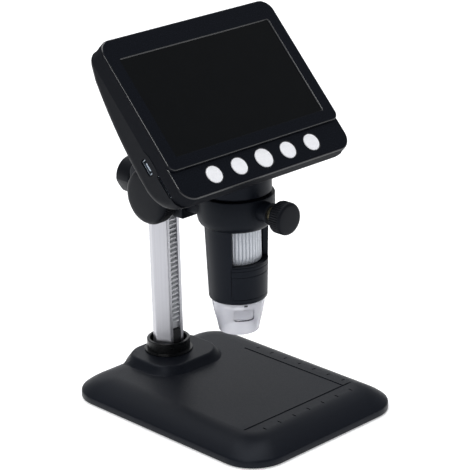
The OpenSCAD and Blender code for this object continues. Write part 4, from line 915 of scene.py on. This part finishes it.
inside = [lofted([(108, -31.4, 36, 1, 5, z) for z in (-9.6, -1.3)]),
          lofted([(108, -46.8, 33, 6, 4, z) for z in (-9.6, -2.8)])]
opening = [block((-50, -28.2, -2.3), (50, 28.2, 0.0)),
           lofted([(97, -26.7, 26.7, 0.5, 0.5, -0.2), (97.2, -26.8, 26.8, 0.6, 0.6, 0.2),
                   (98.3, -27.35, 27.35, 1.0, 1.0, 0.85)])]
seats = []
for name, index in BUTTONS.items():
    r = CAP_RADIUS[name]
    seat = turned([(0, -5), (r + 0.3, -5), (r + 0.3, -1.15), (r + 0.5, -0.9), (r + 0.5, 1), (0, 1)], 64,
                  closed=False)
    seats.append(moved(seat, at(BUTTON_PITCH * index, BUTTON_Y, 0)))
bezel = combined(bezel, inside + opening + seats + [seam_tab(0.08)] + side_ports())
bezel.normal_update()
for face in bezel.faces:
    face.material_index = 1 if face.normal.z < EDGE else 2 if face.normal.z < FLAT else 0
bezel = piece("front_bezel_moulding", moved(bezel, HEAD), "head", bezel_plastic, ["front_bezel"],
              weighted=True)
bezel.data.materials.append(bezel_side)
bezel.data.materials.append(bezel_edge)

# %% Display glass and buttons
glass = lofted([(99.7, -28.05, 28.05, 0.4, 0.4, -1.2), (99.9, -28.15, 28.15, 0.5, 0.5, -1.1),
                (99.9, -28.15, 28.15, 0.5, 0.5, -0.1), (99.7, -28.05, 28.05, 0.4, 0.4, 0.0)])
piece("display_glass", moved(glass, HEAD), "head", screen_glass, ["display_window"])

for name, index in BUTTONS.items():
    r = CAP_RADIUS[name]
    cap = turned([(0, -4.0), (1.5, -4.0), (1.5, -3.6), (r + 0.75, -3.6), (r + 0.75, -2.8), (r, -2.8),
                  (r, -1.15), (r - 0.09, -0.99), (r - 0.3, -0.92), (r - 0.85, -0.9), (0, -0.9)], 64,
                 closed=False)
    piece(f"button_cap_{name}", moved(cap, HEAD @ at(BUTTON_PITCH * index, BUTTON_Y, 0)), f"key_{name}",
          button_silver, [f"button_{name}"])

# %% [markdown]
# ## Finishes for the parts that stay as they are
# Boards, screws, the rack and the other exact parts keep their solids. Each one only needs its material.

# %% Materials on the remaining nodes
KEPT = {
    cover_plastic: ["base_bottom_cover", "column_slot_plug", "wheel_retainer", "lens_carrier"],
    plate_steel: ["base_ballast_plate"],
    rubber: ["base_feet"],
    screw_steel: ["base_cover_screws", "column_foot_bolt", "clamp_ring_screws", "neck_screws", "barrel_screws",
                  "board_screws", "housing_screws", "lock_screw", "clamp_screw"],
    rack_steel: ["rack_strip"],
    shaft_steel: ["pinion_shaft"],
    brass: ["carriage_bushes", "clamp_insert"],
    nylon: ["lock_shoe", "clamp_pad"],
    lens_glass: ["objective_lens"],
    circuit_board: ["sensor_board", "led_board", "main_board", "charge_board", "button_board"],
    led_white: ["illumination_leds"],
    ribbon_film: ["camera_ribbon"],
    lcd_back: ["lcd_panel"],
    bracket_steel: ["lcd_bracket"],
    connector_steel: ["card_slot", "charge_port"],
    foil: ["battery"],
    switch_plastic: ["tact_switches"],
}
for material, names in KEPT.items():
    for name in names:
        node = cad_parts[name]
        node.data.materials.clear()
        node.data.materials.append(material)
covered = {name for names in KEPT.values() for name in names}
left = [n for n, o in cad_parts.items() if n not in covered and not o.hide_render]
print("nodes without a finish of their own:", left)

# %% [markdown]
# ## Floor and light
# A pale floor that glows faintly, so that it stays white to the edges, and three soft lamps, as in a small
# product studio. The lamps are placed for their reflections in the black plastic: a narrow one on the left
# for the long edges, a wide one above for the flat tops, and a weak one behind. The sky is dim, so that the
# display stays black.

# %% Floor
FLOOR_HALF = 6
floor_bm = bmesh.new()
bmesh.ops.create_grid(floor_bm, x_segments=1, y_segments=1, size=FLOOR_HALF)
floor_mesh = bpy.data.meshes.new("floor")
floor_bm.to_mesh(floor_mesh)
floor_bm.free()
floor = bpy.data.objects.new("floor", floor_mesh)
bpy.context.scene.collection.objects.link(floor)
floor_mesh.materials.append(finish("lit_white_backdrop", "#fafafa", "#f7f7f7", 40.0, 0.9, 0.02, 0.0,
                                   Emission_Color=linear("#ffffff"), Emission_Strength=0.38))
print("floor is", 2 * FLOOR_HALF, "m across")

# %% Lamps and sky
def softbox(name, place, aim, size, power):
    """A rectangular area lamp that faces a point, in metres and watts."""
    data = bpy.data.lights.new(name, "AREA")
    data.shape, data.size, data.size_y, data.energy = "RECTANGLE", size[0], size[1], power
    lamp = bpy.data.objects.new(name, data)
    lamp.location = place
    lamp.rotation_euler = (Vector(aim) - Vector(place)).to_track_quat("-Z", "Y").to_euler()
    bpy.context.scene.collection.objects.link(lamp)


softbox("key_left", (-1.24, -0.56, 1.19), (0, 0, 0.15), (0.3, 0.5), 6)
softbox("top_soft", (0.1, 0.3, 1.8), (0, 0, 0), (1.6, 1.6), 28)
softbox("back_soft", (0.9, 1.4, 0.7), (0, 0, 0.1), (1.2, 0.7), 2.5)

world = bpy.data.worlds.new("studio")
world.use_nodes = True
sky = world.node_tree.nodes["Background"]
sky.inputs["Color"].default_value = linear("#e8ecf2")
sky.inputs["Strength"].default_value = 0.35
bpy.context.scene.world = world
